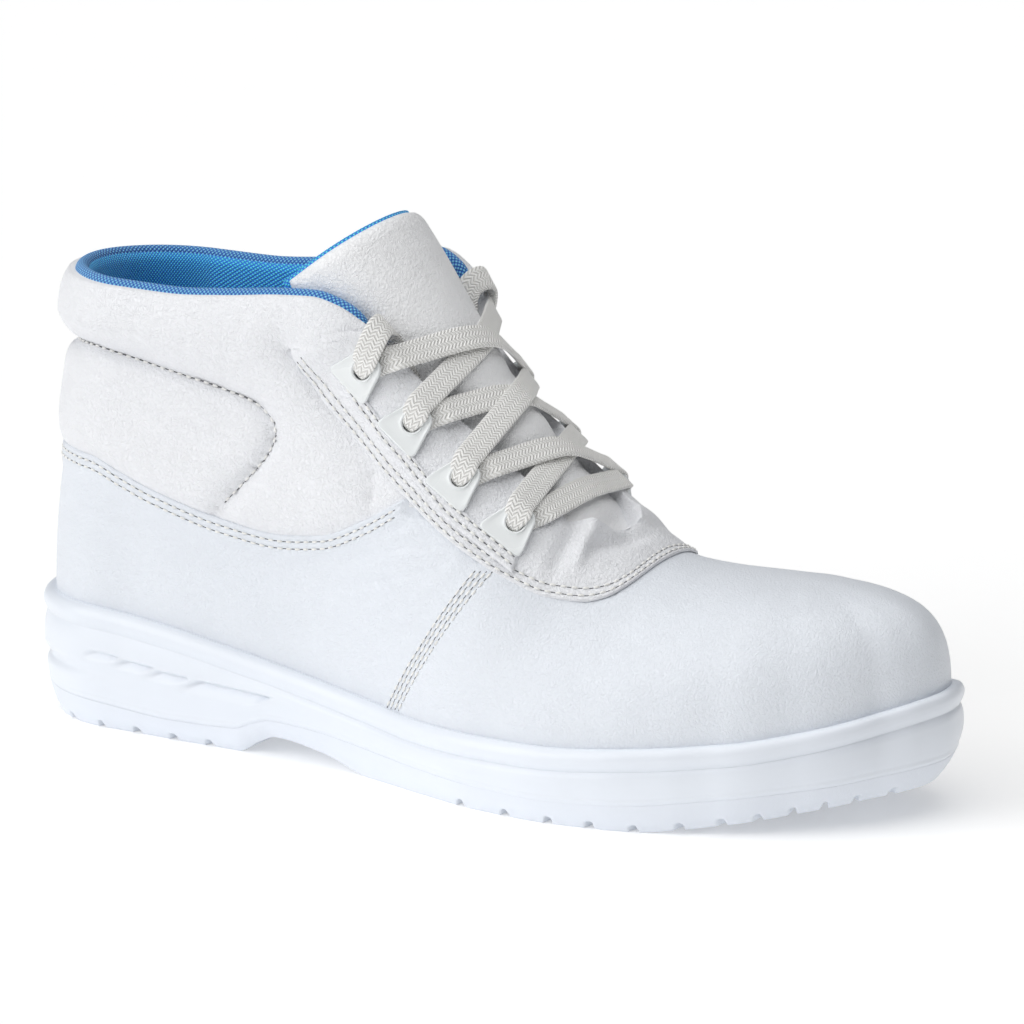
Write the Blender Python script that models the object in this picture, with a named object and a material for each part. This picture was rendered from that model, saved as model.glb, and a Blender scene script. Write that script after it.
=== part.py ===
"""Right lace-up safety boot: moulded sole, hollow upper, padded collar, eyestay, tongue and lace."""

import math

import bmesh
import bpy
import numpy as np
from mathutils import Matrix, Vector

MM = 0.001

# Driving sizes in millimetres: X runs from heel to toe, Y to the wearer's left, Z up
HEEL_CENTRE = 40.0
TOE_CENTRE = 252.0
TOE_OFFSET = 5.0
HEEL_ARC = 63.0
TOE_ARC = 75.0
SPINE_BEND = (60.0, 200.0)
RIM_WIDTH = 4.0
CUP_DEPTH = 7.0
WALL = 2.0
COLLAR_SKIN = 1.0
LOW_PADDING = 3.5
HIGH_PADDING = 2.2
COLLAR_SHORT = 1.2
GAP = 0.45
THROAT_BOTTOM = 198.0
THROAT_ROUND = 14.0
SHOULDER_CLOSING = (160.0, 206.0)
FACING_TOP = 126.0
FACING_BACK = 104.0
FACING_FRONT = 212.5
FACING_TOP_SLOPE = 0.25
OVERLAY_GAP = 0.72
FACING_SEAM_END = 146.0
FACING_THICKNESS = 1.3
FACING_FRONT_LIFT = 0.25
STRIP_THICKNESS = 0.9
TAB_THICKNESS = 1.8
INSOLE_THICKNESS = 4.0
INSOLE_GAP = 1.0
INSOLE_TAPER = 1.0
TONGUE_CENTRE = -1.5
LACE_WIDTH = 8.0
LACE_THICKNESS = 1.8
LACE_OVER = 1.3
LACE_CLEARANCE = 0.9
LACE_RISE = (0.35, 0.05)
LACE_STATIONS = 9
LACE_FLAT = 0.8
LACE_ON_TOP = (1, -1, 1)
SHARP_ANGLE = math.radians(38)

# Places around the boot: heel and toe are fans of upright planes, the body is a row of cross sections
TOE_START = HEEL_ARC + TOE_CENTRE - HEEL_CENTRE
WALK = TOE_START + TOE_ARC


def heel(angle):
    """Walk from the back of the heel to the plane at this angle from straight across."""
    return HEEL_ARC * (1 - angle / 90)


def body(x):
    """Walk from the back of the heel to the cross section at x."""
    return HEEL_ARC + x - HEEL_CENTRE


def toe(angle):
    """Walk from the back of the heel to the toe plane at this angle from straight across."""
    return TOE_START + TOE_ARC * angle / 90


def smooth_curve(xs, ys, flat_ends=False):
    """A cubic curve through a short column of values that never overshoots them."""
    xs = np.asarray(xs, float)
    ys = np.asarray(ys, float)
    step = np.diff(xs)
    slope = np.diff(ys) / step
    tangent = np.zeros(len(xs))
    same_way = slope[:-1] * slope[1:] > 0
    before = 2 * step[1:] + step[:-1]
    after = step[1:] + 2 * step[:-1]
    safe = np.where(same_way, slope[:-1], 1.0), np.where(same_way, slope[1:], 1.0)
    tangent[1:-1] = np.where(same_way, (before + after) / (before / safe[0] + after / safe[1]), 0.0)
    if not flat_ends:
        tangent[0] = slope[0]
        tangent[-1] = slope[-1]

    def value(x):
        x = np.clip(np.asarray(x, float), xs[0], xs[-1])
        i = np.clip(np.searchsorted(xs, x, side="right") - 1, 0, len(step) - 1)
        u = (x - xs[i]) / step[i]
        rise = ys[i] * (1 + 2 * u) * (1 - u) ** 2 + ys[i + 1] * u * u * (3 - 2 * u)
        return rise + step[i] * u * (1 - u) * (tangent[i] * (1 - u) - tangent[i + 1] * u)

    return value


def table(columns, rows, flat_ends=False):
    """A smooth curve for each named column, over the first column."""
    values = np.array(rows, float).T
    return {name: smooth_curve(values[0], column, flat_ends)
            for name, column in zip(columns[1:], values[1:])}


# Widest outline of the sole wall, as reach from the spine
SOLE_PLAN = table(("walk", "lateral", "medial"), [
    (heel(90), 40.0, 40.0),
    (heel(60), 40.2, 40.0),
    (heel(30), 38.6, 38.2),
    (heel(0), 36.8, 36.0),
    (body(62), 37.6, 34.6),
    (body(84), 38.2, 31.2),
    (body(104), 39.8, 28.6),
    (body(128), 44.2, 29.0),
    (body(153), 52.2, 34.0),
    (body(178), 59.4, 39.6),
    (body(198), 61.4, 43.2),
    (body(218), 59.6, 44.4),
    (body(238), 54.6, 43.4),
    (toe(0), 49.4, 41.8),
    (toe(30), 43.8, 42.0),
    (toe(60), 44.6, 48.0),
    (toe(75), 48.4, 50.8),
    (toe(90), 51.5, 51.5),
], flat_ends=True)

# Heights along the sole: feather line, parting of the two layers, tread face, and wall slant at the tread
SOLE_SIDE = table(("x", "feather", "parting", "tread", "slant"), [
    (0, 39.5, 10.2, 0.0, 5.0),
    (30, 39.0, 9.2, 0.0, 6.0),
    (60, 36.2, 7.2, 0.0, 5.5),
    (84, 32.2, 7.8, 0.0, 5.0),
    (91, 31.0, 10.4, 3.8, 4.6),
    (98, 29.8, 12.2, 6.4, 4.4),
    (116, 26.8, 11.4, 4.2, 4.2),
    (134, 24.2, 9.6, 0.0, 4.0),
    (160, 22.1, 8.0, 0.0, 3.0),
    (200, 22.6, 7.0, 0.0, 2.4),
    (228, 24.8, 8.2, 0.0, 2.8),
    (240, 26.0, 9.6, 1.2, 3.4),
    (258, 28.3, 12.0, 4.0, 4.4),
    (280, 33.0, 15.0, 8.0, 6.0),
    (304, 40.0, 19.0, 12.0, 7.0),
])

# Cross sections of the upper: its top edge, lean and fullness, and the medial side's extra height
UPPER_COLUMNS = ("walk", "edge_lateral", "edge_medial", "edge_height", "lean", "low_pull", "high_pull",
                 "medial_lift")
UPPER = table(UPPER_COLUMNS, [
    (heel(90), 26.0, 26.0, 140.0, -2, 0.42, 0.30, 0),
    (heel(45), 26.2, 26.2, 139.4, 0, 0.42, 0.30, 0),
    (heel(0), 27.2, 27.0, 138.6, 2, 0.40, 0.30, 0),
    (body(60), 28.4, 26.6, 138.4, 3, 0.38, 0.30, 0),
    (body(80), 29.0, 26.4, 139.8, 4, 0.36, 0.30, 0),
    (body(100), 29.8, 27.0, 141.8, 6, 0.36, 0.30, 0.6),
    (body(110), 30.2, 27.4, 142.2, 8, 0.37, 0.30, 3.0),
    (body(118), 30.4, 27.2, 140.4, 10, 0.38, 0.30, 6.0),
    (body(125), 30.0, 26.2, 136.4, 13, 0.40, 0.30, 6.5),
    (body(131), 29.0, 23.6, 131.0, 19, 0.43, 0.30, 4.5),
    (body(139), 27.2, 19.4, 122.4, 33, 0.48, 0.30, 2.0),
    (body(150), 24.8, 15.4, 111.4, 48, 0.50, 0.30, 0.6),
    (body(160), 23.6, 13.4, 102.6, 56, 0.51, 0.30, 0),
    (body(170), 22.6, 12.0, 94.6, 63, 0.51, 0.31, 0),
    (body(180), 21.6, 11.2, 87.4, 69, 0.50, 0.33, 0),
    (body(190), 20.2, 10.6, 80.8, 76, 0.46, 0.36, 0),
    (body(198), 19.0, 10.4, 75.0, 84, 0.43, 0.38, 0),
    (body(207), 18.0, 10.4, 70.2, 89, 0.41, 0.39, 0),
    (body(217), 18.0, 10.4, 67.6, 90, 0.40, 0.40, 0),
    (body(232), 18.0, 10.6, 66.8, 90, 0.41, 0.43, 0),
    (toe(0), 18.0, 11.0, 66.8, 90, 0.43, 0.50, 0),
    (toe(45), 18.0, 11.0, 66.8, 90, 0.44, 0.58, 0),
    (toe(90), 18.0, 11.0, 66.8, 90, 0.44, 0.64, 0),
], flat_ends=True)

# Seam lines in the side view: distance along the side and height
QUARTER_SEAM = table(("along", "height"), [
    (-23, 84.5), (10, 86.0), (26, 85.5), (54, 77.5), (80, 71.5), (98, 69.6), (115, 71.5), (132, 78.6),
    (FACING_SEAM_END, 87.0),
])
FACING_EDGE = table(("height", "along"), [
    (87.0, FACING_SEAM_END), (95.0, 135.0), (105.0, 122.5), (115.0, 111.5), (FACING_TOP, FACING_BACK),
    (140.0, 95.0),
])
FACING_FRONT_EDGE = table(("along", "height"), [
    (FACING_BACK, FACING_TOP), (111.5, 115.0), (122.5, 105.0), (135, 95.0), (FACING_SEAM_END, 87.0),
    (156, 79.8), (170, 71.6), (181, 66.0), (192, 62.0), (202, 61.0), (207, 62.0), (210.5, 64.4), (212, 66.8),
    (FACING_FRONT, 68.6),
])

# Stitched groove between the two collar rolls, from the back round the front of the heel pad
COLLAR_GROOVE = [
    (-23, 116.5), (30, 118.5), (60, 114.5), (88, 109.4), (97, 104.0), (97, 98.0), (92, 90.0), (76, 74.0),
]

COLLAR_MIDDLE = table(("along", "height"), [
    (-23, 116.5), (30, 118.5), (60, 114.5), (84, 110.5), (96, 118.0), (FACING_BACK, FACING_TOP),
])

# Tongue crown from its top to its base, with the radius and half spread of its bend
TONGUE_ROWS = table(("step", "x", "height", "radius", "spread", "thickness"), [
    (0, 124.5, 165.0, 25.0, 92, 5.0),
    (1, 133.0, 153.5, 24.5, 94, 5.5),
    (2, 142.0, 140.0, 23.0, 92, 5.5),
    (3, 150.5, 126.0, 21.5, 88, 5.0),
    (4, 160.0, 112.5, 20.5, 82, 4.5),
    (5, 171.5, 99.5, 20.0, 76, 4.0),
    (6, 182.5, 88.0, 19.5, 70, 3.5),
    (7, 192.0, 77.4, 19.0, 66, 3.0),
    (8, 203.0, 65.5, 19.0, 62, 3.0),
])
TONGUE_STEPS = 8

# Eyelets: the cross section of each lace hole and its distance down from the throat edge
EYELET_X = (129.2, 144.2, 160.6, 177.2)
EYELET_DROP = (12.6, 13.3, 16.0, 15.8)


def blend(x, low, high):
    """A smooth step from 0 at low to 1 at high."""
    u = np.clip((np.asarray(x, float) - low) / (high - low), 0, 1)
    return u * u * (3 - 2 * u)


def plan_frame(around):
    """Spine point and outward direction; around is the walk, negative on the lateral side."""
    around = (np.asarray(around, float) + WALK) % (2 * WALK) - WALK
    walk = np.abs(around)
    side = np.where(around < 0, -1.0, 1.0)
    heel_turn = np.clip(1 - walk / HEEL_ARC, 0, 1) * math.pi / 2
    toe_turn = np.clip((walk - TOE_START) / TOE_ARC, 0, 1) * math.pi / 2
    x = np.clip(body_x(walk), HEEL_CENTRE, TOE_CENTRE)
    y = TOE_OFFSET * blend(x, *SPINE_BEND)
    along = np.sin(toe_turn) - np.sin(heel_turn)
    across = side * np.cos(np.maximum(heel_turn, toe_turn))
    return walk, side, x, y, along, across


def body_x(walk):
    """Distance along the side: x in the body, carried on round the heel and toe."""
    return HEEL_CENTRE + walk - HEEL_ARC


def pick(columns, name, walk, side):
    """A column that differs between the two sides."""
    return np.where(side < 0, columns[name + "lateral"](walk), columns[name + "medial"](walk))


def place(around, reach, height):
    """Points at a reach from the spine and a height; a callable height is read along the boot."""
    walk, side, x, y, along, across = plan_frame(around)
    px = x + along * reach
    pz = height(px) if callable(height) else height
    px, py, pz = np.broadcast_arrays(px, y + across * reach, pz)
    return np.stack([px, py, pz], axis=-1)


def sole_reach(around):
    walk, side = plan_frame(around)[:2]
    return pick(SOLE_PLAN, "", walk, side)


def throat_factor(walk):
    """Full width along the throat, closing in a round end at its bottom."""
    into = np.clip((body_x(walk) - (THROAT_BOTTOM - THROAT_ROUND)) / THROAT_ROUND, 0, 1)
    return np.sqrt(1 - into * into)


def edge_top(around):
    """Height of the upper's top edge."""
    walk, side = plan_frame(around)[:2]
    return UPPER["edge_height"](walk) + np.where(side > 0, UPPER["medial_lift"](walk), 0)


def upper_surface(around, rise):
    """Outer face of the upper: rise is 0 at the feather line, 1 at the top edge and -1 at the bottom edge."""
    around, rise = np.broadcast_arrays(np.asarray(around, float), np.asarray(rise, float))
    walk, side, x, y, along, across = plan_frame(around)
    foot = pick(SOLE_PLAN, "", walk, side) - RIM_WIDTH
    base = SOLE_SIDE["feather"](x + along * foot)
    width = pick(UPPER, "edge_", walk, side)
    edge = width * throat_factor(walk)
    shoulder = width * (1 - blend(body_x(walk), *SHOULDER_CLOSING))
    top = edge_top(around)
    lean = np.radians(UPPER["lean"](walk))
    chord = np.hypot(foot - edge, top - base)
    low = chord * UPPER["low_pull"](walk)
    high = chord * UPPER["high_pull"](walk)
    u = np.clip(rise, 0, 1)
    weights = (1 - u) ** 3, 3 * u * (1 - u) ** 2, 3 * u * u * (1 - u), u ** 3
    pulled = shoulder + high * np.sin(lean)
    reach = (weights[0] + weights[1]) * foot + weights[2] * pulled + weights[3] * edge
    height = (weights[0] * base + weights[1] * (base + low)
              + weights[2] * (top - high * np.cos(lean)) + weights[3] * top)
    height = height + np.minimum(rise, 0) * CUP_DEPTH
    return np.stack([x + along * reach, y + across * reach, height], axis=-1)


def unit(vectors):
    return vectors / np.maximum(np.linalg.norm(vectors, axis=-1, keepdims=True), 1e-9)


def upper_normal(around, rise):
    """Outward direction of the upper's face."""
    around, rise = np.broadcast_arrays(np.asarray(around, float), np.asarray(rise, float))
    inside = np.minimum(rise, 0.99)
    turn = upper_surface(around + 0.4, inside) - upper_surface(around - 0.4, inside)
    climb = upper_surface(around, inside + 0.01) - upper_surface(around, inside - 0.01)
    normal = unit(np.cross(climb, turn))
    walk = np.abs((around + WALK) % (2 * WALK) - WALK)
    on_ridge = (rise > 0.999) & (body_x(walk) >= THROAT_BOTTOM - 0.01)
    slope = (UPPER["edge_height"](walk + 1) - UPPER["edge_height"](walk - 1)) / 2
    ridge = np.stack([np.where(walk < TOE_START, -slope, 0), 0 * slope, 1 + 0 * slope], axis=-1)
    return np.where(on_ridge[..., None], unit(ridge), normal)


def offset_surface(around, rise, out):
    """The upper's face moved outward by a distance."""
    return upper_surface(around, rise) + np.asarray(out, float)[..., None] * upper_normal(around, rise)


def rise_at(around, height):
    """Where a section of the upper reaches a height."""
    around, height = np.broadcast_arrays(np.asarray(around, float), np.asarray(height, float))
    low = np.zeros(around.shape)
    high = np.ones(around.shape)
    for _ in range(30):
        middle = (low + high) / 2
        under = upper_surface(around, middle)[..., 2] < height
        low = np.where(under, middle, low)
        high = np.where(under, high, middle)
    return (low + high) / 2


def rise_below_edge(around, distance):
    """Where a section of the upper lies a distance below its top edge, measured along the wall."""
    steps = np.linspace(1, 0, 120)
    points = upper_surface(around, steps)
    run = np.concatenate([[0], np.cumsum(np.linalg.norm(np.diff(points, axis=0), axis=1))])
    return float(np.interp(distance, run, steps))


def outline_middle():
    """Middle of the sole's outline, where the part's origin lies."""
    around = np.linspace(-WALK, WALK, 1441)
    wall = place(around, sole_reach(around), 0.0)
    return (wall.min(axis=0) + wall.max(axis=0)) / 2


ORIGIN = outline_middle()


def material(name, colour, roughness):
    """A plain Principled material."""
    made = bpy.data.materials.new(name)
    made.use_nodes = True
    shader = made.node_tree.nodes["Principled BSDF"]
    shader.inputs["Base Color"].default_value = (*colour, 1)
    shader.inputs["Roughness"].default_value = roughness
    return made


def add_object(name, mesh_data, finish):
    """A named object from a bmesh in millimetres, moved so that the origin is under its middle."""
    bmesh.ops.translate(mesh_data, verts=mesh_data.verts, vec=-Vector(ORIGIN))
    bmesh.ops.scale(mesh_data, verts=mesh_data.verts, vec=(MM, MM, MM))
    bmesh.ops.remove_doubles(mesh_data, verts=mesh_data.verts, dist=0.00001)
    bmesh.ops.recalc_face_normals(mesh_data, faces=mesh_data.faces)
    mesh = bpy.data.meshes.new(name)
    mesh_data.to_mesh(mesh)
    mesh_data.free()
    mesh.shade_smooth()
    mesh.set_sharp_from_angle(angle=SHARP_ANGLE)
    mesh.materials.append(finish)
    made = bpy.data.objects.new(name, mesh)
    bpy.context.collection.objects.link(made)
    return made


def add_cutter(name, mesh_data):
    """A hidden object that only shapes another one."""
    made = add_object(name, mesh_data, FINISH["sole"])
    made.hide_render = True
    made.display_type = "WIRE"
    return made


def combine(target, tool, operation):
    """Cut a tool from an object, or join it on."""
    change = target.modifiers.new(tool.name, "BOOLEAN")
    change.operation = operation
    change.solver = "EXACT"
    change.object = tool


def grid_faces(mesh_data, points, ring=False, skip=None):
    """Vertices for a grid of points and quads between its columns and rows."""
    made = [[mesh_data.verts.new(point) for point in column] for column in points]
    count = len(made)
    for i in range(count if ring else count - 1):
        here, there = made[i], made[(i + 1) % count]
        for j in range(len(here) - 1):
            if skip is None or not skip(i, j):
                mesh_data.faces.new((here[j], there[j], there[j + 1], here[j + 1]))
    return made


def thick_patch(name, outer, inner, finish, skip=None):
    """A closed solid between two grids of the same size, with some cells left out if need be."""
    mesh_data = bmesh.new()
    front = grid_faces(mesh_data, outer, skip=skip)
    back = grid_faces(mesh_data, inner, skip=skip)
    below = {id(f): b for column, other in zip(front, back) for f, b in zip(column, other)}
    open_edges = [edge for edge in mesh_data.edges if edge.is_boundary]
    for edge in open_edges:
        first, second = edge.verts
        if id(first) in below:
            mesh_data.faces.new((first, second, below[id(second)], below[id(first)]))
    loose = [vert for vert in mesh_data.verts if not vert.link_faces]
    bmesh.ops.delete(mesh_data, geom=loose, context="VERTS")
    return add_object(name, mesh_data, finish)


def ring_places(stations):
    """Places around the boot from the toe along the lateral side to the heel and back on the medial side."""
    lateral = [-walk for walk in reversed(stations)]
    medial = [walk for walk in stations if 0 < walk < WALK - 0.01]
    return np.array(lateral + medial)


FAN = 7


def fan_stations(body_stations):
    """Stations of one side: the heel fan, the given cross sections and the toe fan."""
    heel_fan = [heel(90 - 90 * i / FAN) for i in range(FAN)]
    toe_fan = [toe(90 * i / FAN) for i in range(1, FAN + 1)]
    return heel_fan + [body(x) for x in body_stations] + toe_fan


SOLE_STATIONS = (40, 56, 72, 84, 91, 98, 112, 126, 140, 154, 168, 180, 191, 202, 214, 228, 240, 252)
UPPER_STATIONS = (40, 60, 80, 98, 109, 116, 122, 127, 132, 138, 145, 153, 162, 172, 182, 190, 195, 197.4,
                  THROAT_BOTTOM, 203, 210, 218, 229, 240, 252)
SOLE_PARTS = (0, 0.6, 1)
SOLE_RING = ring_places(fan_stations(SOLE_STATIONS))
UPPER_RING = ring_places(fan_stations(UPPER_STATIONS))


def loft(name, profile, finish):
    """A closed solid from one profile at each place of the sole, from its underside to its top."""
    rows = [place(SOLE_RING, reach, height) for reach, height in profile]
    mesh_data = bmesh.new()
    grid_faces(mesh_data, np.stack(rows, axis=1), ring=True)
    return add_object(name, mesh_data, finish)


def cut_block(mesh_data, centre, size, turn):
    """A box for a cutter, turned about its centre."""
    spot = Matrix.Translation(Vector(centre)) @ turn.to_4x4() @ Matrix.Diagonal((*size, 1))
    bmesh.ops.create_cube(mesh_data, size=1, matrix=spot)


# Tread grooves: their sizes and angle, and under each part the first one and their number
GROOVE_DEPTH = 2.4
GROOVE_WIDTH = 2.8
GROOVE_LENGTH = 56.0
GROOVE_ANGLE = math.radians(14)
GROOVE_PITCH = 12.6
GROOVE_INSET = 7.0
GROOVE_MIDDLE = 3.0
HEEL_GROOVES = (12.0, 6)
FOREFOOT_GROOVES = (140.0, 12)
CUTTER_HEIGHT = 10.0
WALL_SLANT = 0.3
TREAD_SAG = 0.5


def make_outsole():
    """The tread layer, with slanting grooves that leave lugs under the heel and the forefoot."""
    reach = sole_reach(SOLE_RING)
    tread = SOLE_SIDE["tread"]
    parting = SOLE_SIDE["parting"]
    slant = SOLE_SIDE["slant"](place(SOLE_RING, reach, 0.0)[:, 0])
    low, high = reach - slant, reach - WALL_SLANT * slant
    profile = [(low * part, tread) for part in SOLE_PARTS]
    profile += [((low + high) / 2, lambda x: (tread(x) + parting(x)) / 2 - TREAD_SAG)]
    profile += [(high * part, parting) for part in reversed(SOLE_PARTS)]
    outsole = loft("outsole", profile, FINISH["tread"])
    groups = (HEEL_GROOVES, FOREFOOT_GROOVES)
    grooves = [first + GROOVE_PITCH * i for first, count in groups for i in range(count)]
    size = (GROOVE_WIDTH, GROOVE_LENGTH, CUTTER_HEIGHT)
    mesh_data = bmesh.new()
    for x in grooves:
        slope = float(tread(x + 2) - tread(x - 2)) / 4
        level = float(tread(x)) + GROOVE_DEPTH - CUTTER_HEIGHT / 2
        for side in (-1, 1):
            turn = Matrix.Rotation(-math.atan(slope), 3, "Y") @ Matrix.Rotation(side * GROOVE_ANGLE, 3, "Z")
            middle = GROOVE_MIDDLE + side * (GROOVE_LENGTH / 2 + GROOVE_INSET)
            cut_block(mesh_data, (x, middle, level), size, turn)
    combine(outsole, add_cutter("tread_grooves", mesh_data), "DIFFERENCE")


# Sole wall from the parting to the groove under the rim: share of height, step in, share of the heel rib
WALL_STEPS = [(0.2, 0.4, 0), (0.42, 0.2, 1), (0.56, 0, 0), (0.9, 0.5, 0)]

# Rim from that groove to its top: drop below the feather line, step in, and share of the heel rib
RIM_DROP = 6.5
RIM_STEPS = [(RIM_DROP, 2.0, 0.3), (3.2, 0.1, 0), (1.0, 1.0, 0), (0, 2.4, 0)]
HEEL_RIB = 1.5
RIB_FADE = (8, 58)

# Scoops in the heel's side: distance along, height and length
SCOOPS = [(35, 23.5, 11.5), (47.5, 21.8, 11.5), (60, 20.1, 11.5), (81, 18.3, 28)]
SCOOP_DEPTH = 3.2
SCOOP_HEIGHT = 4.0
SCOOP_TILT = math.radians(9)


def make_midsole():
    """The sole body: bulged wall, groove, rounded rim and a cup that holds the upper."""
    reach = sole_reach(SOLE_RING)
    at = place(SOLE_RING, reach, 0.0)[:, 0]
    slant = SOLE_SIDE["slant"](at)
    feather, parting = SOLE_SIDE["feather"], SOLE_SIDE["parting"]
    rib = HEEL_RIB * (1 - blend(at, *RIB_FADE))
    bottom = reach - WALL_SLANT * slant

    def wall_height(part):
        return lambda x: parting(x) + GAP + part * (feather(x) - RIM_DROP - parting(x))

    def rim_height(drop):
        return lambda x: feather(x) - drop

    cup = reach - RIM_WIDTH + GAP
    profile = [(bottom * part, wall_height(0)) for part in SOLE_PARTS]
    profile += [(reach - step - share * rib, wall_height(part)) for part, step, share in WALL_STEPS]
    profile += [(reach - step - share * rib, rim_height(drop)) for drop, step, share in RIM_STEPS]
    profile += [(cup, rim_height(0))]
    profile += [(cup * part, rim_height(CUP_DEPTH + GAP)) for part in reversed(SOLE_PARTS)]
    midsole = loft("midsole", profile, FINISH["sole"])
    mesh_data = bmesh.new()
    for along, height, length in SCOOPS:
        for side in (-1, 1):
            around = np.array([side * body(along)])
            wall = place(around, sole_reach(around), height)[0]
            ahead = place(around + side, sole_reach(around + side), height)[0] - wall
            heading = math.atan2(ahead[1], ahead[0])
            turn = Matrix.Rotation(heading, 3, "Z") @ Matrix.Rotation(SCOOP_TILT, 3, "Y")
            cut_block(mesh_data, wall, (length, SCOOP_DEPTH, SCOOP_HEIGHT), turn)
    combine(midsole, add_cutter("heel_scoops", mesh_data), "DIFFERENCE")


def make_insole():
    """A thin footbed inside the upper."""
    reach = sole_reach(SOLE_RING) - RIM_WIDTH - WALL - INSOLE_GAP

    def level(lift):
        return lambda x: SOLE_SIDE["feather"](x) - CUP_DEPTH + lift

    profile = [(reach * part, level(0)) for part in SOLE_PARTS]
    profile += [((reach - INSOLE_TAPER) * part, level(INSOLE_THICKNESS)) for part in reversed(SOLE_PARTS)]
    loft("insole", profile, FINISH["lining"])


# Rises of the upper's rows, up its outer face and down its inner one
OUTER_RISES = np.array([-1, 0, 0.12, 0.26, 0.42, 0.58, 0.74, 0.88, 1])
INNER_RISES = np.array([1, 0.85, 0.66, 0.46, 0.24, 0, -1])


def make_upper():
    """One hollow wall, open at the collar, the throat and underneath."""
    rises = np.concatenate([OUTER_RISES, INNER_RISES])
    depth = np.concatenate([0 * OUTER_RISES, 0 * INNER_RISES - WALL])
    around, rise = np.meshgrid(UPPER_RING, rises, indexing="ij")
    points = offset_surface(around, rise, np.broadcast_to(depth, around.shape))
    closed = body_x(np.abs(UPPER_RING)) >= THROAT_BOTTOM - 0.01
    lip = len(OUTER_RISES) - 1
    count = len(UPPER_RING)
    mesh_data = bmesh.new()
    made = grid_faces(mesh_data, points, ring=True,
                      skip=lambda i, j: j == lip and closed[i] and closed[(i + 1) % count])
    for i in range(count):
        here, there = made[i], made[(i + 1) % count]
        mesh_data.faces.new((here[-1], there[-1], there[0], here[0]))
    add_object("upper", mesh_data, FINISH["upper"])


def facing_top(along):
    """Height of the groove round the back, and further on where the eyestay ends below the collar roll."""
    along = np.asarray(along, float)
    return COLLAR_MIDDLE["height"](along) + FACING_TOP_SLOPE * np.maximum(along - FACING_BACK, 0)


def throat_lip(side):
    """Where the top line of the eyestay meets the throat edge."""
    x = np.linspace(FACING_BACK, THROAT_BOTTOM, 900)
    return float(x[np.argmax(edge_top(side * body(x)) < facing_top(x))])


def groove_distance(along, height):
    """Distance from the stitched groove, in the side view."""
    nearest = np.full(np.broadcast(along, height).shape, 1e9)
    for (x0, z0), (x1, z1) in zip(COLLAR_GROOVE[:-1], COLLAR_GROOVE[1:]):
        length = (x1 - x0) ** 2 + (z1 - z0) ** 2
        u = np.clip(((along - x0) * (x1 - x0) + (height - z0) * (z1 - z0)) / length, 0, 1)
        nearest = np.minimum(nearest, np.hypot(along - x0 - u * (x1 - x0), height - z0 - u * (z1 - z0)))
    return nearest


def dome(distance, radius):
    """A round shoulder that is full at a radius from an edge."""
    return np.sqrt(np.clip(1 - (1 - np.clip(distance / radius, 0, 1)) ** 2, 0, 1))


# How far from the groove, the quarter's seam, the top edge and the front end the padding is full
GROOVE_ROUND = 10.0
SEAM_ROUND = 20.0
TOP_ROUND = 16.0
FRONT_ROUND = 24.0
ROLL_CHANGE = (108, 124)


def collar_thickness(along, height, top, front):
    """Padding of the collar: thin at its edges and its groove, round between them."""
    pad = dome(groove_distance(along, height), GROOVE_ROUND)
    pad = pad * dome(height - QUARTER_SEAM["height"](along), SEAM_ROUND)
    pad = pad * dome(top - height + GAP, TOP_ROUND) * dome(front + GAP, FRONT_ROUND)
    return COLLAR_SKIN + (LOW_PADDING + HIGH_PADDING * blend(height, *ROLL_CHANGE)) * pad


def collar_side(side, columns, extra, low_rows, high_rows):
    """Places, rises and padding of the collar on one side, from the back to its front end, row by row."""
    share = np.linspace(0, 1, columns + 1)
    ahead = np.linspace(0, 1, extra + 1)[1:]
    seam_end = float(QUARTER_SEAM["height"](FACING_SEAM_END))
    corner = throat_lip(side) - COLLAR_SHORT
    walks, rises = [], []
    for v in np.linspace(0, 1, low_rows + 1):
        front = float(FACING_EDGE["along"](seam_end + v * (FACING_TOP - seam_end))) - GAP
        walk = np.concatenate([share * body(front), body(front) + 0 * ahead])
        if v == 1:
            walk[columns + 1:] = body(front + ahead * (corner - front))
        start = rise_at(side * walk, QUARTER_SEAM["height"](body_x(walk)) + GAP)
        walks.append(walk)
        rises.append(start + v * (rise_at(side * walk, facing_top(body_x(walk)) + GAP) - start))
    for v in np.linspace(0, 1, high_rows + 1)[1:]:
        end = corner - COLLAR_SHORT * v
        walk = np.concatenate([share * body(front), body(front + ahead * (end - front))])
        start = rise_at(side * walk, facing_top(body_x(walk)) + GAP)
        walks.append(walk)
        rises.append(start + v * (1 - start))
    around, rise = side * np.array(walks).T, np.array(rises).T
    along = body_x(np.abs(around))
    height = upper_surface(around, rise)[..., 2]
    front = np.abs(around[-1]) - np.abs(around)
    return around, rise, collar_thickness(along, height, edge_top(around), front)


def collar_grid(columns, extra, low_rows, high_rows):
    """The whole collar from end to end; the cells in front of its lower rows stay empty."""
    lateral = collar_side(-1, columns, extra, low_rows, high_rows)
    medial = collar_side(1, columns, extra, low_rows, high_rows)
    cells = 2 * (columns + extra)

    def skip(i, j):
        return j < low_rows and (i < extra or i >= cells - extra)

    return [np.concatenate([a[::-1], b[1:]]) for a, b in zip(lateral, medial)] + [skip]


def make_collar():
    """The padded collar over the ankle part of the upper, with a groove between its two rolls."""
    around, rise, padding, skip = collar_grid(15, 6, 6, 5)
    outer = offset_surface(around, rise, OVERLAY_GAP + padding)
    inner = offset_surface(around, rise, np.full(around.shape, OVERLAY_GAP))
    thick_patch("collar", outer, inner, FINISH["soft"], skip)


BINDING_HALF = 2.5
BINDING_HEIGHT = 2.6
BINDING_OUT = 0.3
BINDING_SHORT = 2.2 * COLLAR_SHORT


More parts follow.
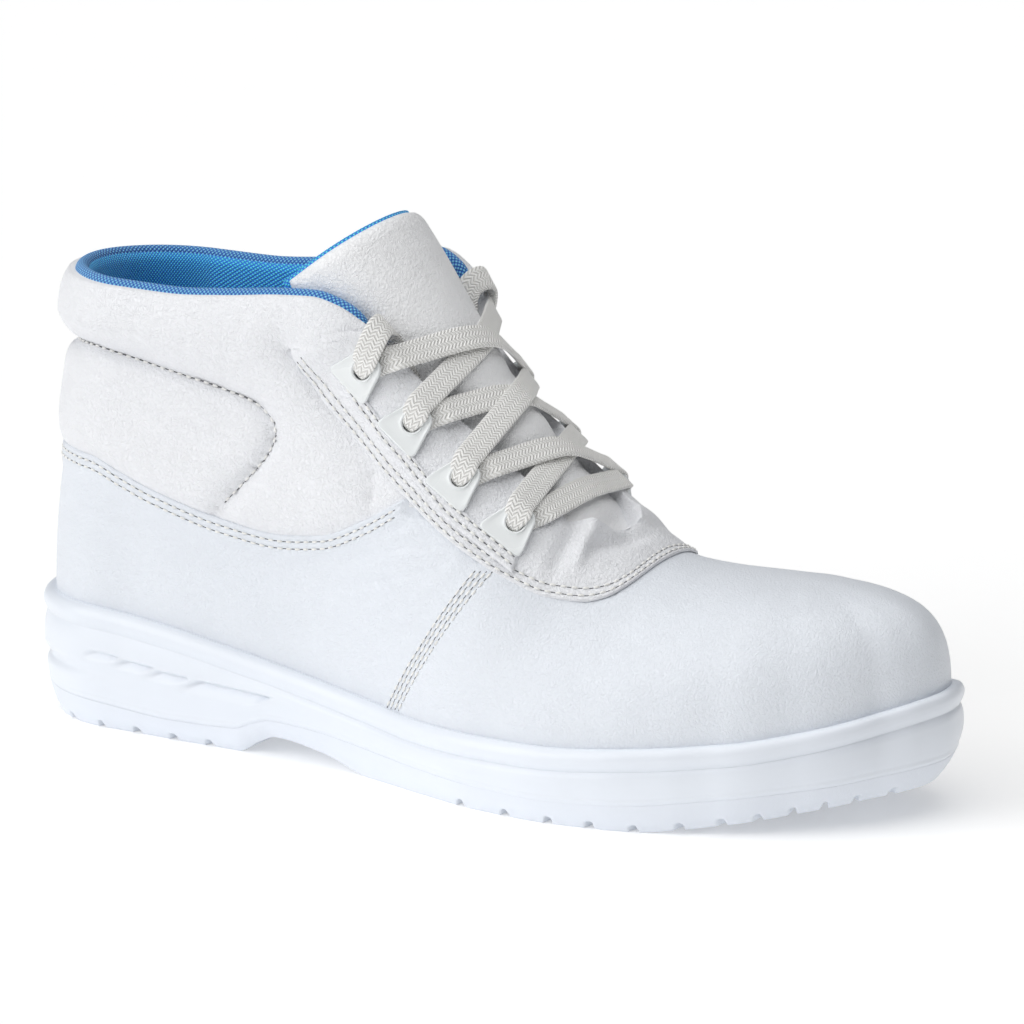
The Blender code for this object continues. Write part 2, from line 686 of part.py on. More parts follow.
def make_collar_binding():
    """The rolled lining edge along the top of the collar."""
    lateral, medial = (body(throat_lip(side) - BINDING_SHORT) for side in (-1, 1))
    between = UPPER_RING[(UPPER_RING > -lateral + 1) & (UPPER_RING < medial - 1)]
    around = np.concatenate([[-lateral], between, [medial]])
    full = np.ones(around.shape)
    edge = upper_surface(around, full)
    out = upper_normal(around, full)
    up = unit(np.cross(np.gradient(edge, axis=0), out))
    turns = np.linspace(0, math.pi, 7)
    aside = BINDING_OUT - BINDING_HALF * np.cos(turns)
    above = OVERLAY_GAP + BINDING_HEIGHT * np.sin(turns)
    columns = [[spot + way * step + lift * rise for step, rise in zip(aside, above)]
               for spot, way, lift in zip(edge, out, up)]
    mesh_data = bmesh.new()
    made = grid_faces(mesh_data, columns)
    for here, there in zip(made[:-1], made[1:]):
        mesh_data.faces.new((here[-1], there[-1], there[0], here[0]))
    mesh_data.faces.new(made[0])
    mesh_data.faces.new(made[-1])
    add_object("collar_binding", mesh_data, FINISH["lining"])


# Columns along each side of the eyestay, rows across it, and how they crowd towards its front
FACING_COLUMNS = 18
FACING_SHARES = np.array([0, 0.18, 0.38, 0.6, 0.82, 1])
OUTER_CROWDING = 1.7
INNER_CROWDING = 1.6


def facing_grid(side):
    """Places and rises of the eyestay on one side, from its outer seam to the free edge."""
    run = np.linspace(0, 1, FACING_COLUMNS)
    outer_x = FACING_BACK + (FACING_FRONT - FACING_BACK) * (1 - (1 - run) ** OUTER_CROWDING)
    lip = throat_lip(side)
    inner_x = lip + (THROAT_BOTTOM - lip) * (1 - (1 - run) ** INNER_CROWDING)
    outer_z = FACING_FRONT_EDGE["height"](outer_x)
    inner_z = np.minimum(edge_top(side * body(inner_x)), facing_top(inner_x))
    around = side * body(outer_x[:, None] + (inner_x - outer_x)[:, None] * FACING_SHARES)
    rise = rise_at(around, outer_z[:, None] + (inner_z - outer_z)[:, None] * FACING_SHARES)
    rise[1:, -1] = 1
    rise[-1] = 1
    return around, rise


def make_facing():
    """The eyestay: one U of leather around the throat, joined in front of it."""
    lateral, medial = (facing_grid(side) for side in (-1, 1))
    around = np.concatenate([lateral[0], medial[0][-2::-1]])
    rise = np.concatenate([lateral[1], medial[1][-2::-1]])
    lift = OVERLAY_GAP + FACING_FRONT_LIFT * blend(body_x(np.abs(around)), THROAT_BOTTOM, FACING_FRONT)
    outer = offset_surface(around, rise, lift + FACING_THICKNESS)
    inner = offset_surface(around, rise, lift)
    thick_patch("facing", outer, inner, FINISH["soft"])


def eyelet_frame(index, side, lift):
    """Centre of a lace hole with the directions along the throat, towards it and outward."""
    around = side * body(EYELET_X[index])
    rise = rise_below_edge(around, EYELET_DROP[index])
    centre = offset_surface(np.array([around]), np.array([rise]), np.array([lift]))[0]
    normal = upper_normal(np.array([around]), np.array([rise]))[0]
    ahead = side * body(EYELET_X[index] + 4)
    ahead_rise = rise_below_edge(ahead, EYELET_DROP[index])
    down = unit(upper_surface(np.array([ahead]), np.array([ahead_rise]))[0] - centre)
    down = unit(down - normal * np.dot(down, normal))
    inward = unit(np.cross(down, normal)) * side
    return centre, down, inward, normal


TAB_GAP = 0.9
TAB_LIFT = OVERLAY_GAP + FACING_THICKNESS + TAB_GAP
TAB_TOP = TAB_LIFT + TAB_THICKNESS
TAB_HOLE = 2.6
TAB_BEVEL = 0.5
TAB_INSET = 0.93

# Corners of a tab: along the throat, towards it, and corner radius
TAB_CORNERS = [(-7.2, -4.9, 1.2), (8.2, -4.9, 1.2), (3.4, 6.0, 4.2), (-4.5, 5.7, 4.2)]

# Lace ends beside a tab: shift towards the throat, shift down along it, and height above the upper
UNDER_TAB = (9.8, 4.4, OVERLAY_GAP + FACING_THICKNESS + 1.0)
OVER_TAB = (0.6, -2.4, TAB_TOP + TAB_GAP)
LACE_END = [
    (0.0, -0.6, TAB_TOP + TAB_GAP),
    (4.5, -2.3, TAB_TOP + 1.7),
    (9.0, -4.1, TAB_TOP + 1.5),
    (13.0, -5.7, TAB_TOP + 0.4),
]


def make_eyelet(name, index, side):
    """A moulded tab: a round-cornered triangle with a lace hole, lying on the eyestay."""
    centre, down, inward, normal = eyelet_frame(index, side, TAB_LIFT)
    outline = []
    for k, (a, b, radius) in enumerate(TAB_CORNERS):
        before = unit(np.array(TAB_CORNERS[k - 1][:2]) - (a, b))
        after = unit(np.array(TAB_CORNERS[(k + 1) % len(TAB_CORNERS)][:2]) - (a, b))
        inset = unit(before + after) * radius / max(np.sin(np.arccos(np.dot(before, after)) / 2), 0.3)
        start = np.array((a, b)) + before * np.dot(inset, before)
        end = np.array((a, b)) + after * np.dot(inset, after)
        for share in ((0, 0.5, 1) if radius > 2 else (0.3,)):
            corner = (1 - share) ** 2 * start + 2 * share * (1 - share) * np.array((a, b)) + share ** 2 * end
            outline.append(corner)
    hole = [TAB_HOLE * unit(point) for point in np.array(outline)]
    mesh_data = bmesh.new()
    columns = []
    for edge, bore in zip(outline, hole):
        column = []
        for spot, level in ((edge, 0), (edge, TAB_THICKNESS - TAB_BEVEL), (edge * TAB_INSET, TAB_THICKNESS),
                            (bore, TAB_THICKNESS), (bore, 0)):
            column.append(centre + down * spot[0] + inward * spot[1] + normal * level)
        columns.append(column + [column[0]])
    grid_faces(mesh_data, columns, ring=True)
    add_object(name, mesh_data, FINISH["plastic"])


# Strip behind the tabs: its start and drop below the edge, its reach past the last hole, and its rows
STRIP_TOP = 120.5
STRIP_TOP_DROP = 10.4
STRIP_PAST = 4.0
STRIP_SHIFTS = (7.4, 9.9, 12.4)


def make_eyelet_strip(name, side):
    """The stitched strip behind the tabs, lying on the eyestay."""
    stations = np.linspace(STRIP_TOP, EYELET_X[-1] + STRIP_PAST, 10)
    around = side * body(stations)[:, None] + np.zeros(len(STRIP_SHIFTS))
    drops = np.interp(stations, (STRIP_TOP, *EYELET_X), (STRIP_TOP_DROP, *EYELET_DROP))
    rise = np.array([[rise_below_edge(side * body(x), drop + shift) for shift in STRIP_SHIFTS]
                     for x, drop in zip(stations, drops)])
    low = np.full(around.shape, OVERLAY_GAP + FACING_THICKNESS + GAP)
    thick_patch(name, offset_surface(around, rise, low + STRIP_THICKNESS),
                offset_surface(around, rise, low), FINISH["soft"])


def tongue_point(step, share, inward):
    """A point of the tongue: step along it, share across it from -1 to 1, and depth below its face."""
    step, share = np.broadcast_arrays(np.asarray(step, float), np.asarray(share, float))
    x, z = TONGUE_ROWS["x"](step), TONGUE_ROWS["height"](step)
    ahead = np.stack([TONGUE_ROWS["x"](step + 0.1) - TONGUE_ROWS["x"](step - 0.1),
                      TONGUE_ROWS["height"](step + 0.1) - TONGUE_ROWS["height"](step - 0.1)], axis=-1)
    ahead = unit(ahead)
    out_x, out_z = -ahead[..., 1], ahead[..., 0]
    radius = TONGUE_ROWS["radius"](step)
    turn = np.radians(TONGUE_ROWS["spread"](step)) * share
    fall = radius * (1 - np.cos(turn)) + inward * np.cos(turn)
    aside = TONGUE_CENTRE + (radius - inward) * np.sin(turn)
    return np.stack([x - out_x * fall, aside, z - out_z * fall], axis=-1)


# Tongue rim: its share of the full thickness, and its width at the sides and at the top
TONGUE_RIM = 0.45
TONGUE_SIDE = 0.25
TONGUE_END = 0.5


def make_tongue():
    """A padded tongue bent round the instep, thinner at its rim."""
    step, share = np.meshgrid(np.linspace(0, TONGUE_STEPS, 13), np.linspace(-1, 1, 11), indexing="ij")
    rim = np.minimum(dome(1 - np.abs(share), TONGUE_SIDE), dome(step, TONGUE_END))
    thickness = TONGUE_ROWS["thickness"](step)
    depth = thickness * (TONGUE_RIM + (1 - TONGUE_RIM) * rim)
    middle = thickness / 2
    thick_patch("tongue", tongue_point(step, share, middle - depth / 2),
                tongue_point(step, share, middle + depth / 2), FINISH["soft"])


def tongue_clearance(points):
    """Distance of points above the tongue's face."""
    steps = np.linspace(0, TONGUE_STEPS, 161)
    crown = tongue_point(steps, 0, 0)
    ahead = unit(np.gradient(crown, axis=0))
    out = np.stack([-ahead[:, 2], 0 * steps, ahead[:, 0]], axis=-1)
    radius = TONGUE_ROWS["radius"](steps)
    level = np.abs(np.einsum("psk,sk->ps", points[:, None] - crown, ahead))
    nearest = np.argmin(level, axis=1)
    axis = (crown - out * radius[:, None])[nearest]
    high = np.sum((points - axis) * out[nearest], axis=1)
    return np.hypot(high, points[:, 1] - TONGUE_CENTRE) - radius[nearest]


def lace_run(start, end, over):
    """Path and directions of a flat run that leaves both tabs along their faces and bends over the tongue."""
    share = np.linspace(0, 1, LACE_STATIONS)[:, None]
    weights = (1 - share) ** 3, 3 * share * (1 - share) ** 2, 3 * share ** 2 * (1 - share), share ** 3
    for pull in np.arange(8, 40, 0.5):
        leave, arrive = (spot[0] + pull * unit(spot[2] + rise * spot[3])
                         for spot, rise in zip((start, end), LACE_RISE))
        path = weights[0] * start[0] + weights[1] * leave + weights[2] * arrive + weights[3] * end[0]
        if tongue_clearance(path[2:-2]).min() > LACE_CLEARANCE:
            break
    out = unit((start[3] + end[3]) * (1, 0, 1))
    path = path + out * over * (4 * share * (1 - share)) ** 2
    way = unit(np.gradient(path, axis=0))
    level = unit(weights[0] * start[3] + weights[1] * out + weights[2] * out + weights[3] * end[3])
    across = unit(np.cross(way, level))
    return path, across, unit(np.cross(across, way))


def lace_band(path, across, upward):
    """A flat band with round edges along a path."""
    half, thick = LACE_WIDTH / 2, LACE_THICKNESS
    flat = LACE_FLAT * half
    ring = ((-half, thick / 2), (-flat, thick), (flat, thick), (half, thick / 2), (flat, 0), (-flat, 0))
    columns = [[spot + a * wide + u * high for wide, high in ring]
               for spot, a, u in zip(path, across, upward)]
    mesh_data = bmesh.new()
    made = grid_faces(mesh_data, columns)
    for here, there in zip(made[:-1], made[1:]):
        mesh_data.faces.new((here[-1], there[-1], there[0], here[0]))
    mesh_data.faces.new(made[0])
    mesh_data.faces.new(made[-1])
    return mesh_data


def tab_end(index, side, shift_in, shift_down, lift):
    """A lace end near a tab: its place, with the tab's directions."""
    centre, down, inward, normal = eyelet_frame(index, side, lift)
    return centre + inward * shift_in + down * shift_down, down, inward, normal


def make_lace():
    """The bottom bar and three crossings; each run comes from under one tab and leaves over another."""
    tabs = range(len(EYELET_X))
    under = {side: [tab_end(i, side, *UNDER_TAB) for i in tabs] for side in (-1, 1)}
    over = {side: [tab_end(i, side, *OVER_TAB) for i in tabs] for side in (-1, 1)}
    add_object("lace_bar", lace_band(*lace_run(under[-1][-1], under[1][-1], 0)), FINISH["lace"])
    for i, top in enumerate(LACE_ON_TOP):
        low = lace_band(*lace_run(over[-top][i + 1], under[top][i], 0))
        high = lace_band(*lace_run(over[top][i + 1], under[-top][i], LACE_OVER))
        crossing = add_object(f"lace_crossing_{i + 1}", low, FINISH["lace"])
        combine(crossing, add_cutter(f"lace_run_{i + 1}", high), "UNION")


def make_lace_end(name, side):
    """The lace end above the top tab, which tucks in over the throat edge."""
    path = np.array([tab_end(0, side, *spot)[0] for spot in LACE_END])
    way = unit(np.gradient(path, axis=0))
    across = unit(np.cross(way, upper_normal(np.array([side * body(EYELET_X[0])]), np.array([1.0]))))
    add_object(name, lace_band(path, across, unit(np.cross(across, way))), FINISH["lace"])


for old in list(bpy.data.objects):
    bpy.data.objects.remove(old, do_unlink=True)

FINISH = {
    "sole": material("moulded_sole", (0.86, 0.88, 0.90), 0.42),
    "tread": material("moulded_tread", (0.84, 0.86, 0.88), 0.5),
    "upper": material("grained_microfibre", (0.86, 0.88, 0.90), 0.5),
    "soft": material("soft_leather", (0.88, 0.87, 0.84), 0.55),
    "plastic": material("moulded_tab", (0.88, 0.90, 0.92), 0.3),
    "lining": material("blue_mesh_lining", (0.05, 0.20, 0.55), 0.85),
    "lace": material("woven_lace", (0.88, 0.87, 0.83), 0.8),
}

make_outsole()
make_midsole()
make_insole()
make_upper()
make_collar()
make_collar_binding()
make_facing()
for side_name, side_sign in (("lateral", -1), ("medial", 1)):
    make_eyelet_strip(f"eyelet_strip_{side_name}", side_sign)
    make_lace_end(f"lace_end_{side_name}", side_sign)
    for eyelet in range(len(EYELET_X)):
        make_eyelet(f"eyelet_{side_name}_{eyelet + 1}", eyelet, side_sign)
make_tongue()
make_lace()
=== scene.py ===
"""Looks of the right lace-up safety boot: white leather, moulded sole, blue mesh lining and flat lace."""

import math

import bmesh
import bpy
import numpy as np
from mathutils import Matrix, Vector


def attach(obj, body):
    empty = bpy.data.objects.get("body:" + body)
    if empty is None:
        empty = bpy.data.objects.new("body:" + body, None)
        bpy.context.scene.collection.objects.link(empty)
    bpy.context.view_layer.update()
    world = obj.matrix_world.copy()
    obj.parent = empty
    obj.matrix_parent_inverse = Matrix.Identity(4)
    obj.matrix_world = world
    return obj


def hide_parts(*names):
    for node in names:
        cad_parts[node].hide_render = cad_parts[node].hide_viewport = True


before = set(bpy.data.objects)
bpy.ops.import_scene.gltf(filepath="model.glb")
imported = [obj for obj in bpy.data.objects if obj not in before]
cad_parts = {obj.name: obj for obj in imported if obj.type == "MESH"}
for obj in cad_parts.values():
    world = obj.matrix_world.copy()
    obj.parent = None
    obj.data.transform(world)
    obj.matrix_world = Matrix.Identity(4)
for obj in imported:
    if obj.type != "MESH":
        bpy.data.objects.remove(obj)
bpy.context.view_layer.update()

MM = 0.001

# Sizes of the boot in millimetres: X runs from heel to toe, Y to the wearer's left, Z up
HEEL_CENTRE = 40.0
TOE_CENTRE = 252.0
TOE_OFFSET = 5.0
HEEL_ARC = 63.0
TOE_ARC = 75.0
SPINE_BEND = (60.0, 200.0)
RIM_WIDTH = 4.0
CUP_DEPTH = 7.0
WALL = 2.0
GAP = 0.45
THROAT_BOTTOM = 198.0
THROAT_ROUND = 14.0
THROAT_SOFTNESS = 1.2
SHOULDER_CLOSING = (160.0, 206.0)
FACING_TOP = 126.0
FACING_BACK = 104.0
FACING_FRONT = 212.5
FACING_TOP_SLOPE = 0.25
FACING_SEAM_END = 146.0
FACING_SEAM_HEIGHT = 87.0
FACING_OUT = 2.0
COLLAR_SHORT = 1.2
LOW_PADDING = 4.0
HIGH_PADDING = 5.8
TONGUE_CENTRE = -1.5
TONGUE_STEPS = 8
TAB_LIFT = 2.3
TAB_TILT = 0.16
TAB_THICKNESS = 1.8
LACE_WIDTH = 8.0
LACE_THICKNESS = 1.5
STITCH_PITCH = 3.2

# Angle past which an edge stays sharp, and the two sides of the boot with the sign of Y there
SHARP_ANGLE = math.radians(70)
SIDES = ((-1, "lateral"), (1, "medial"))

# Grids of the pieces: columns round or along each of them, and rows across it
SOLE_GRID = (720, 46, 24)
TREAD_GRID = (1260, 28, 14)
SHELL_GRID = (620, 72)
LINING_GRID = (360, 36)
COLLAR_GRID = (120, 24, 44, 30)
RIM_GRID = (420, 26)
FOOTBED_COLUMNS = 300
FACING_COLUMNS = 190
TONGUE_GRID = (131, 71)

# Places around the boot: heel and toe are fans of upright planes, the body is a row of cross sections
TOE_START = HEEL_ARC + TOE_CENTRE - HEEL_CENTRE
WALK = TOE_START + TOE_ARC


def heel(angle):
    """Walk from the back of the heel to the plane at this angle from straight across."""
    return HEEL_ARC * (1 - angle / 90)


def body(x):
    """Walk from the back of the heel to the cross section at x."""
    return HEEL_ARC + x - HEEL_CENTRE


def toe(angle):
    """Walk from the back of the heel to the toe plane at this angle from straight across."""
    return TOE_START + TOE_ARC * angle / 90


def smooth_curve(xs, ys, flat_ends=False):
    """A cubic curve through a short column of values that never overshoots them."""
    xs = np.asarray(xs, float)
    ys = np.asarray(ys, float)
    step = np.diff(xs)
    slope = np.diff(ys) / step
    tangent = np.zeros(len(xs))
    same_way = slope[:-1] * slope[1:] > 0
    before = 2 * step[1:] + step[:-1]
    after = step[1:] + 2 * step[:-1]
    safe = np.where(same_way, slope[:-1], 1.0), np.where(same_way, slope[1:], 1.0)
    tangent[1:-1] = np.where(same_way, (before + after) / (before / safe[0] + after / safe[1]), 0.0)
    if not flat_ends:
        tangent[0] = slope[0]
        tangent[-1] = slope[-1]

    def value(x):
        x = np.clip(np.asarray(x, float), xs[0], xs[-1])
        i = np.clip(np.searchsorted(xs, x, side="right") - 1, 0, len(step) - 1)
        u = (x - xs[i]) / step[i]
        rise = ys[i] * (1 + 2 * u) * (1 - u) ** 2 + ys[i + 1] * u * u * (3 - 2 * u)
        return rise + step[i] * u * (1 - u) * (tangent[i] * (1 - u) - tangent[i + 1] * u)

    return value


def table(columns, rows, flat_ends=False):
    """A smooth curve for each named column, over the first column."""
    values = np.array(rows, float).T
    return {name: smooth_curve(values[0], column, flat_ends)
            for name, column in zip(columns[1:], values[1:])}


# Widest outline of the sole wall, as reach from the spine
SOLE_PLAN = table(("walk", "lateral", "medial"), [
    (heel(90), 40.0, 40.0),
    (heel(60), 40.2, 40.0),
    (heel(30), 38.6, 38.2),
    (heel(0), 36.8, 36.0),
    (body(62), 37.6, 34.6),
    (body(84), 38.2, 31.2),
    (body(104), 39.8, 28.6),
    (body(128), 44.2, 29.0),
    (body(153), 52.2, 34.0),
    (body(178), 59.4, 39.6),
    (body(198), 61.4, 43.2),
    (body(218), 59.6, 44.4),
    (body(238), 54.6, 43.4),
    (toe(0), 49.4, 41.8),
    (toe(30), 43.8, 42.0),
    (toe(60), 44.6, 48.0),
    (toe(75), 48.4, 50.8),
    (toe(90), 51.5, 51.5),
], flat_ends=True)

# Heights along the sole: feather line, parting of the two layers, tread face, and wall slant at the tread
SOLE_SIDE = table(("x", "feather", "parting", "tread", "slant"), [
    (0, 39.5, 10.2, 0.0, 5.0),
    (30, 39.0, 9.2, 0.0, 6.0),
    (60, 36.2, 7.2, 0.0, 5.5),
    (84, 32.2, 7.8, 0.0, 5.0),
    (91, 31.0, 10.4, 3.8, 4.6),
    (98, 29.8, 12.2, 6.4, 4.4),
    (116, 26.8, 11.4, 4.2, 4.2),
    (134, 24.2, 9.6, 0.0, 4.0),
    (160, 22.1, 8.0, 0.0, 3.0),
    (200, 22.6, 7.0, 0.0, 2.4),
    (228, 24.8, 8.2, 0.0, 2.8),
    (240, 26.0, 9.6, 1.2, 3.4),
    (258, 28.3, 12.0, 4.0, 4.4),
    (280, 33.0, 15.0, 8.0, 6.0),
    (304, 40.0, 19.0, 12.0, 7.0),
])

# Cross sections of the upper: its top edge, lean and fullness, and the medial side's extra height
UPPER_COLUMNS = ("walk", "edge_lateral", "edge_medial", "edge_height", "lean", "low_pull", "high_pull",
                 "medial_lift")
UPPER = table(UPPER_COLUMNS, [
    (heel(90), 26.0, 26.0, 140.0, -2, 0.42, 0.30, 0),
    (heel(45), 26.2, 26.2, 139.4, 0, 0.42, 0.30, 0),
    (heel(0), 27.2, 27.0, 138.6, 2, 0.40, 0.30, 0),
    (body(60), 28.4, 26.6, 138.4, 3, 0.38, 0.30, 0),
    (body(80), 29.0, 26.4, 139.8, 4, 0.36, 0.30, 0),
    (body(100), 29.8, 27.0, 141.8, 6, 0.36, 0.30, 0.6),
    (body(110), 30.2, 27.4, 142.2, 8, 0.37, 0.30, 3.0),
    (body(118), 30.4, 27.2, 140.4, 10, 0.38, 0.30, 6.0),
    (body(125), 30.0, 26.2, 136.4, 13, 0.40, 0.30, 6.5),
    (body(131), 29.0, 23.6, 131.0, 19, 0.43, 0.30, 4.5),
    (body(139), 27.2, 19.4, 122.4, 33, 0.48, 0.30, 2.0),
    (body(150), 24.8, 15.4, 111.4, 48, 0.50, 0.30, 0.6),
    (body(160), 23.6, 13.4, 102.6, 56, 0.51, 0.30, 0),
    (body(170), 22.6, 12.0, 94.6, 63, 0.51, 0.31, 0),
    (body(180), 21.6, 11.2, 87.4, 69, 0.50, 0.33, 0),
    (body(190), 20.2, 10.6, 80.8, 76, 0.46, 0.36, 0),
    (body(198), 19.0, 10.4, 75.0, 84, 0.43, 0.38, 0),
    (body(207), 18.0, 10.4, 70.2, 89, 0.41, 0.39, 0),
    (body(217), 18.0, 10.4, 67.6, 90, 0.40, 0.40, 0),
    (body(232), 18.0, 10.6, 66.8, 90, 0.41, 0.43, 0),
    (toe(0), 18.0, 11.0, 66.8, 90, 0.43, 0.50, 0),
    (toe(45), 18.0, 11.0, 66.8, 90, 0.44, 0.58, 0),
    (toe(90), 18.0, 11.0, 66.8, 90, 0.44, 0.64, 0),
], flat_ends=True)

# Seam lines in the side view: distance along the side and height
QUARTER_SEAM = table(("along", "height"), [
    (-23, 84.5), (10, 86.0), (26, 85.5), (54, 77.5), (80, 71.5), (98, 69.6), (115, 71.5), (132, 78.6),
    (FACING_SEAM_END, FACING_SEAM_HEIGHT),
])
FACING_EDGE = table(("height", "along"), [
    (FACING_SEAM_HEIGHT, FACING_SEAM_END), (95.0, 135.0), (105.0, 122.5), (115.0, 111.5),
    (FACING_TOP, FACING_BACK), (140.0, 95.0),
])
FACING_FRONT_EDGE = table(("along", "height"), [
    (FACING_BACK, FACING_TOP), (111.5, 115.0), (122.5, 105.0), (135, 95.0),
    (FACING_SEAM_END, FACING_SEAM_HEIGHT), (156, 79.8), (170, 71.6), (181, 66.0), (192, 62.0), (202, 61.0),
    (207, 62.0), (210.5, 64.4), (212, 66.8), (FACING_FRONT, 68.6),
])
SIDE_SEAM = table(("height", "along"), [
    (14, 135.5), (28.7, 143.5), (35.2, 147.5), (47.0, 155.5), (57.1, 162.5), (69.2, 170.5), (84, 180.0),
])
COLLAR_MIDDLE = table(("along", "height"), [
    (-23, 116.5), (30, 118.5), (60, 114.5), (84, 110.5), (96, 118.0), (FACING_BACK, FACING_TOP),
])

# Stitched groove between the two collar rolls, from the back round the front of the heel pad
COLLAR_GROOVE = [
    (-23, 116.5), (-4, 117.6), (30, 118.5), (60, 114.5), (86, 109.6), (95, 105.5), (98, 100.0), (95, 93.0),
    (87, 84.0), (74, 71.0),
]
DART = [
    (FACING_BACK, FACING_TOP), (111.5, 115.0), (122.5, 105.0), (135, 95.0),
    (FACING_SEAM_END, FACING_SEAM_HEIGHT),
]

# Tongue crown from its top to its base, with the radius, half spread and back reach of its bend
TONGUE_ROWS = table(("step", "x", "height", "radius", "spread", "wing", "thickness"), [
    (0, 124.5, 165.0, 25.0, 88, 9, 4.6),
    (1, 133.0, 153.8, 24.5, 88, 13, 5.0),
    (2, 142.2, 140.6, 23.0, 88, 12, 5.0),
    (3, 151.2, 127.2, 21.5, 88, 8, 4.6),
    (4, 161.2, 114.0, 20.5, 88, 4, 4.2),
    (5, 173.0, 101.0, 20.0, 86, 3, 3.8),
    (6, 184.0, 89.4, 26.0, 60, 4, 3.4),
    (7, 193.0, 78.6, 45.0, 32, 4, 3.0),
    (8, 203.0, 66.0, 60.0, 24, 4, 3.0),
])

# Eyelets: the cross section of each lace hole and its distance down from the throat edge
EYELET_X = (128.0, 143.8, 160.4, 177.2)
EYELET_DROP = (12.6, 13.3, 16.0, 15.8)


def blend(x, low, high):
    """A smooth step from 0 at low to 1 at high."""
    u = np.clip((np.asarray(x, float) - low) / (high - low), 0, 1)
    return u * u * (3 - 2 * u)


def bell(x, width):
    """A soft bump of height 1 at 0."""
    return np.exp(-(np.asarray(x, float) / width) ** 2)


def dome(distance, radius):
    """A round shoulder that is full at a radius from an edge."""
    return np.sqrt(np.clip(1 - (1 - np.clip(distance / radius, 0, 1)) ** 2, 0, 1))


def unit(vectors):
    """Directions of length 1."""
    return vectors / np.maximum(np.linalg.norm(vectors, axis=-1, keepdims=True), 1e-9)


def run_length(points):
    """Distance along each line of points from its start."""
    steps = np.linalg.norm(np.diff(points, axis=-2), axis=-1)
    return np.concatenate([0 * steps[..., :1], np.cumsum(steps, axis=-1)], axis=-1)


def points_at(spots, run, points):
    """Points of a line at some distances along it."""
    return np.stack([np.interp(spots, run, column) for column in points.T], axis=-1)


def soften(line, rounds):
    """Even out a row of values or points between its two ends."""
    for _ in range(rounds):
        line[1:-1] = (line[:-2] + 2 * line[1:-1] + line[2:]) / 4


def body_x(walk):
    """Distance along the side: x in the body, carried on round the heel and toe."""
    return HEEL_CENTRE + walk - HEEL_ARC


def plan_frame(around):
    """Spine point and outward direction; around is the walk, negative on the lateral side."""
    around = (np.asarray(around, float) + WALK) % (2 * WALK) - WALK
    walk = np.abs(around)
    side = np.where(around < 0, -1.0, 1.0)
    heel_turn = np.clip(1 - walk / HEEL_ARC, 0, 1) * math.pi / 2
    toe_turn = np.clip((walk - TOE_START) / TOE_ARC, 0, 1) * math.pi / 2
    x = np.clip(body_x(walk), HEEL_CENTRE, TOE_CENTRE)
    y = TOE_OFFSET * blend(x, *SPINE_BEND)
    along = np.sin(toe_turn) - np.sin(heel_turn)
    across = side * np.cos(np.maximum(heel_turn, toe_turn))
    return walk, side, x, y, along, across


def pick(columns, name, walk, side):
    """A column that differs between the two sides."""
    return np.where(side < 0, columns[name + "lateral"](walk), columns[name + "medial"](walk))


def place(around, reach, height):
    """Points at a reach from the spine and a height; a callable height is read along the boot."""
    walk, side, x, y, along, across = plan_frame(around)
    px = x + along * reach
    pz = height(px) if callable(height) else height
    px, py, pz = np.broadcast_arrays(px, y + across * reach, pz)
    return np.stack([px, py, pz], axis=-1)


def sole_reach(around):
    """Reach of the sole wall from the spine."""
    walk, side = plan_frame(around)[:2]
    return pick(SOLE_PLAN, "", walk, side)


def throat_factor(walk, rise):
    """Full width along the throat, closing in a round end that is softer further below the edge."""
    into = np.maximum((body_x(walk) - (THROAT_BOTTOM - THROAT_ROUND)) / THROAT_ROUND, 0)
    left = 1 - into * into
    soft = THROAT_SOFTNESS * (1 - rise)
    return np.minimum(np.sqrt((left + np.sqrt(left * left + soft * soft)) / 2), 1)


def edge_top(around):
    """Height of the upper's top edge."""
    walk, side = plan_frame(around)[:2]
    return UPPER["edge_height"](walk) + np.where(side > 0, UPPER["medial_lift"](walk), 0)


def upper_surface(around, rise):
    """Outer face of the upper: rise is 0 at the feather line, 1 at the top edge and -1 at the bottom edge."""
    around, rise = np.broadcast_arrays(np.asarray(around, float), np.asarray(rise, float))
    walk, side, x, y, along, across = plan_frame(around)
    foot = pick(SOLE_PLAN, "", walk, side) - RIM_WIDTH
    base = SOLE_SIDE["feather"](x + along * foot)
    width = pick(UPPER, "edge_", walk, side)
    u = np.clip(rise, 0, 1)
    edge = width * throat_factor(walk, u)
    shoulder = width * (1 - blend(body_x(walk), *SHOULDER_CLOSING))
    top = edge_top(around)
    lean = np.radians(UPPER["lean"](walk))
    chord = np.hypot(foot - edge, top - base)
    low = chord * UPPER["low_pull"](walk)
    high = chord * UPPER["high_pull"](walk)
    weights = (1 - u) ** 3, 3 * u * (1 - u) ** 2, 3 * u * u * (1 - u), u ** 3
    reach = ((weights[0] + weights[1]) * foot + weights[2] * (shoulder + high * np.sin(lean))
             + weights[3] * edge)
    height = (weights[0] * base + weights[1] * (base + low)
              + weights[2] * (top - high * np.cos(lean)) + weights[3] * top)
    height = height + np.minimum(rise, 0) * CUP_DEPTH
    return np.stack([x + along * reach, y + across * reach, height], axis=-1)


# Steps for working out directions, heights and lengths on the upper
TURN_STEP = 0.4
RISE_STEP = 0.01
HALVINGS = 26
WALL_STEPS = 120
OUTLINE_STEPS = 1441


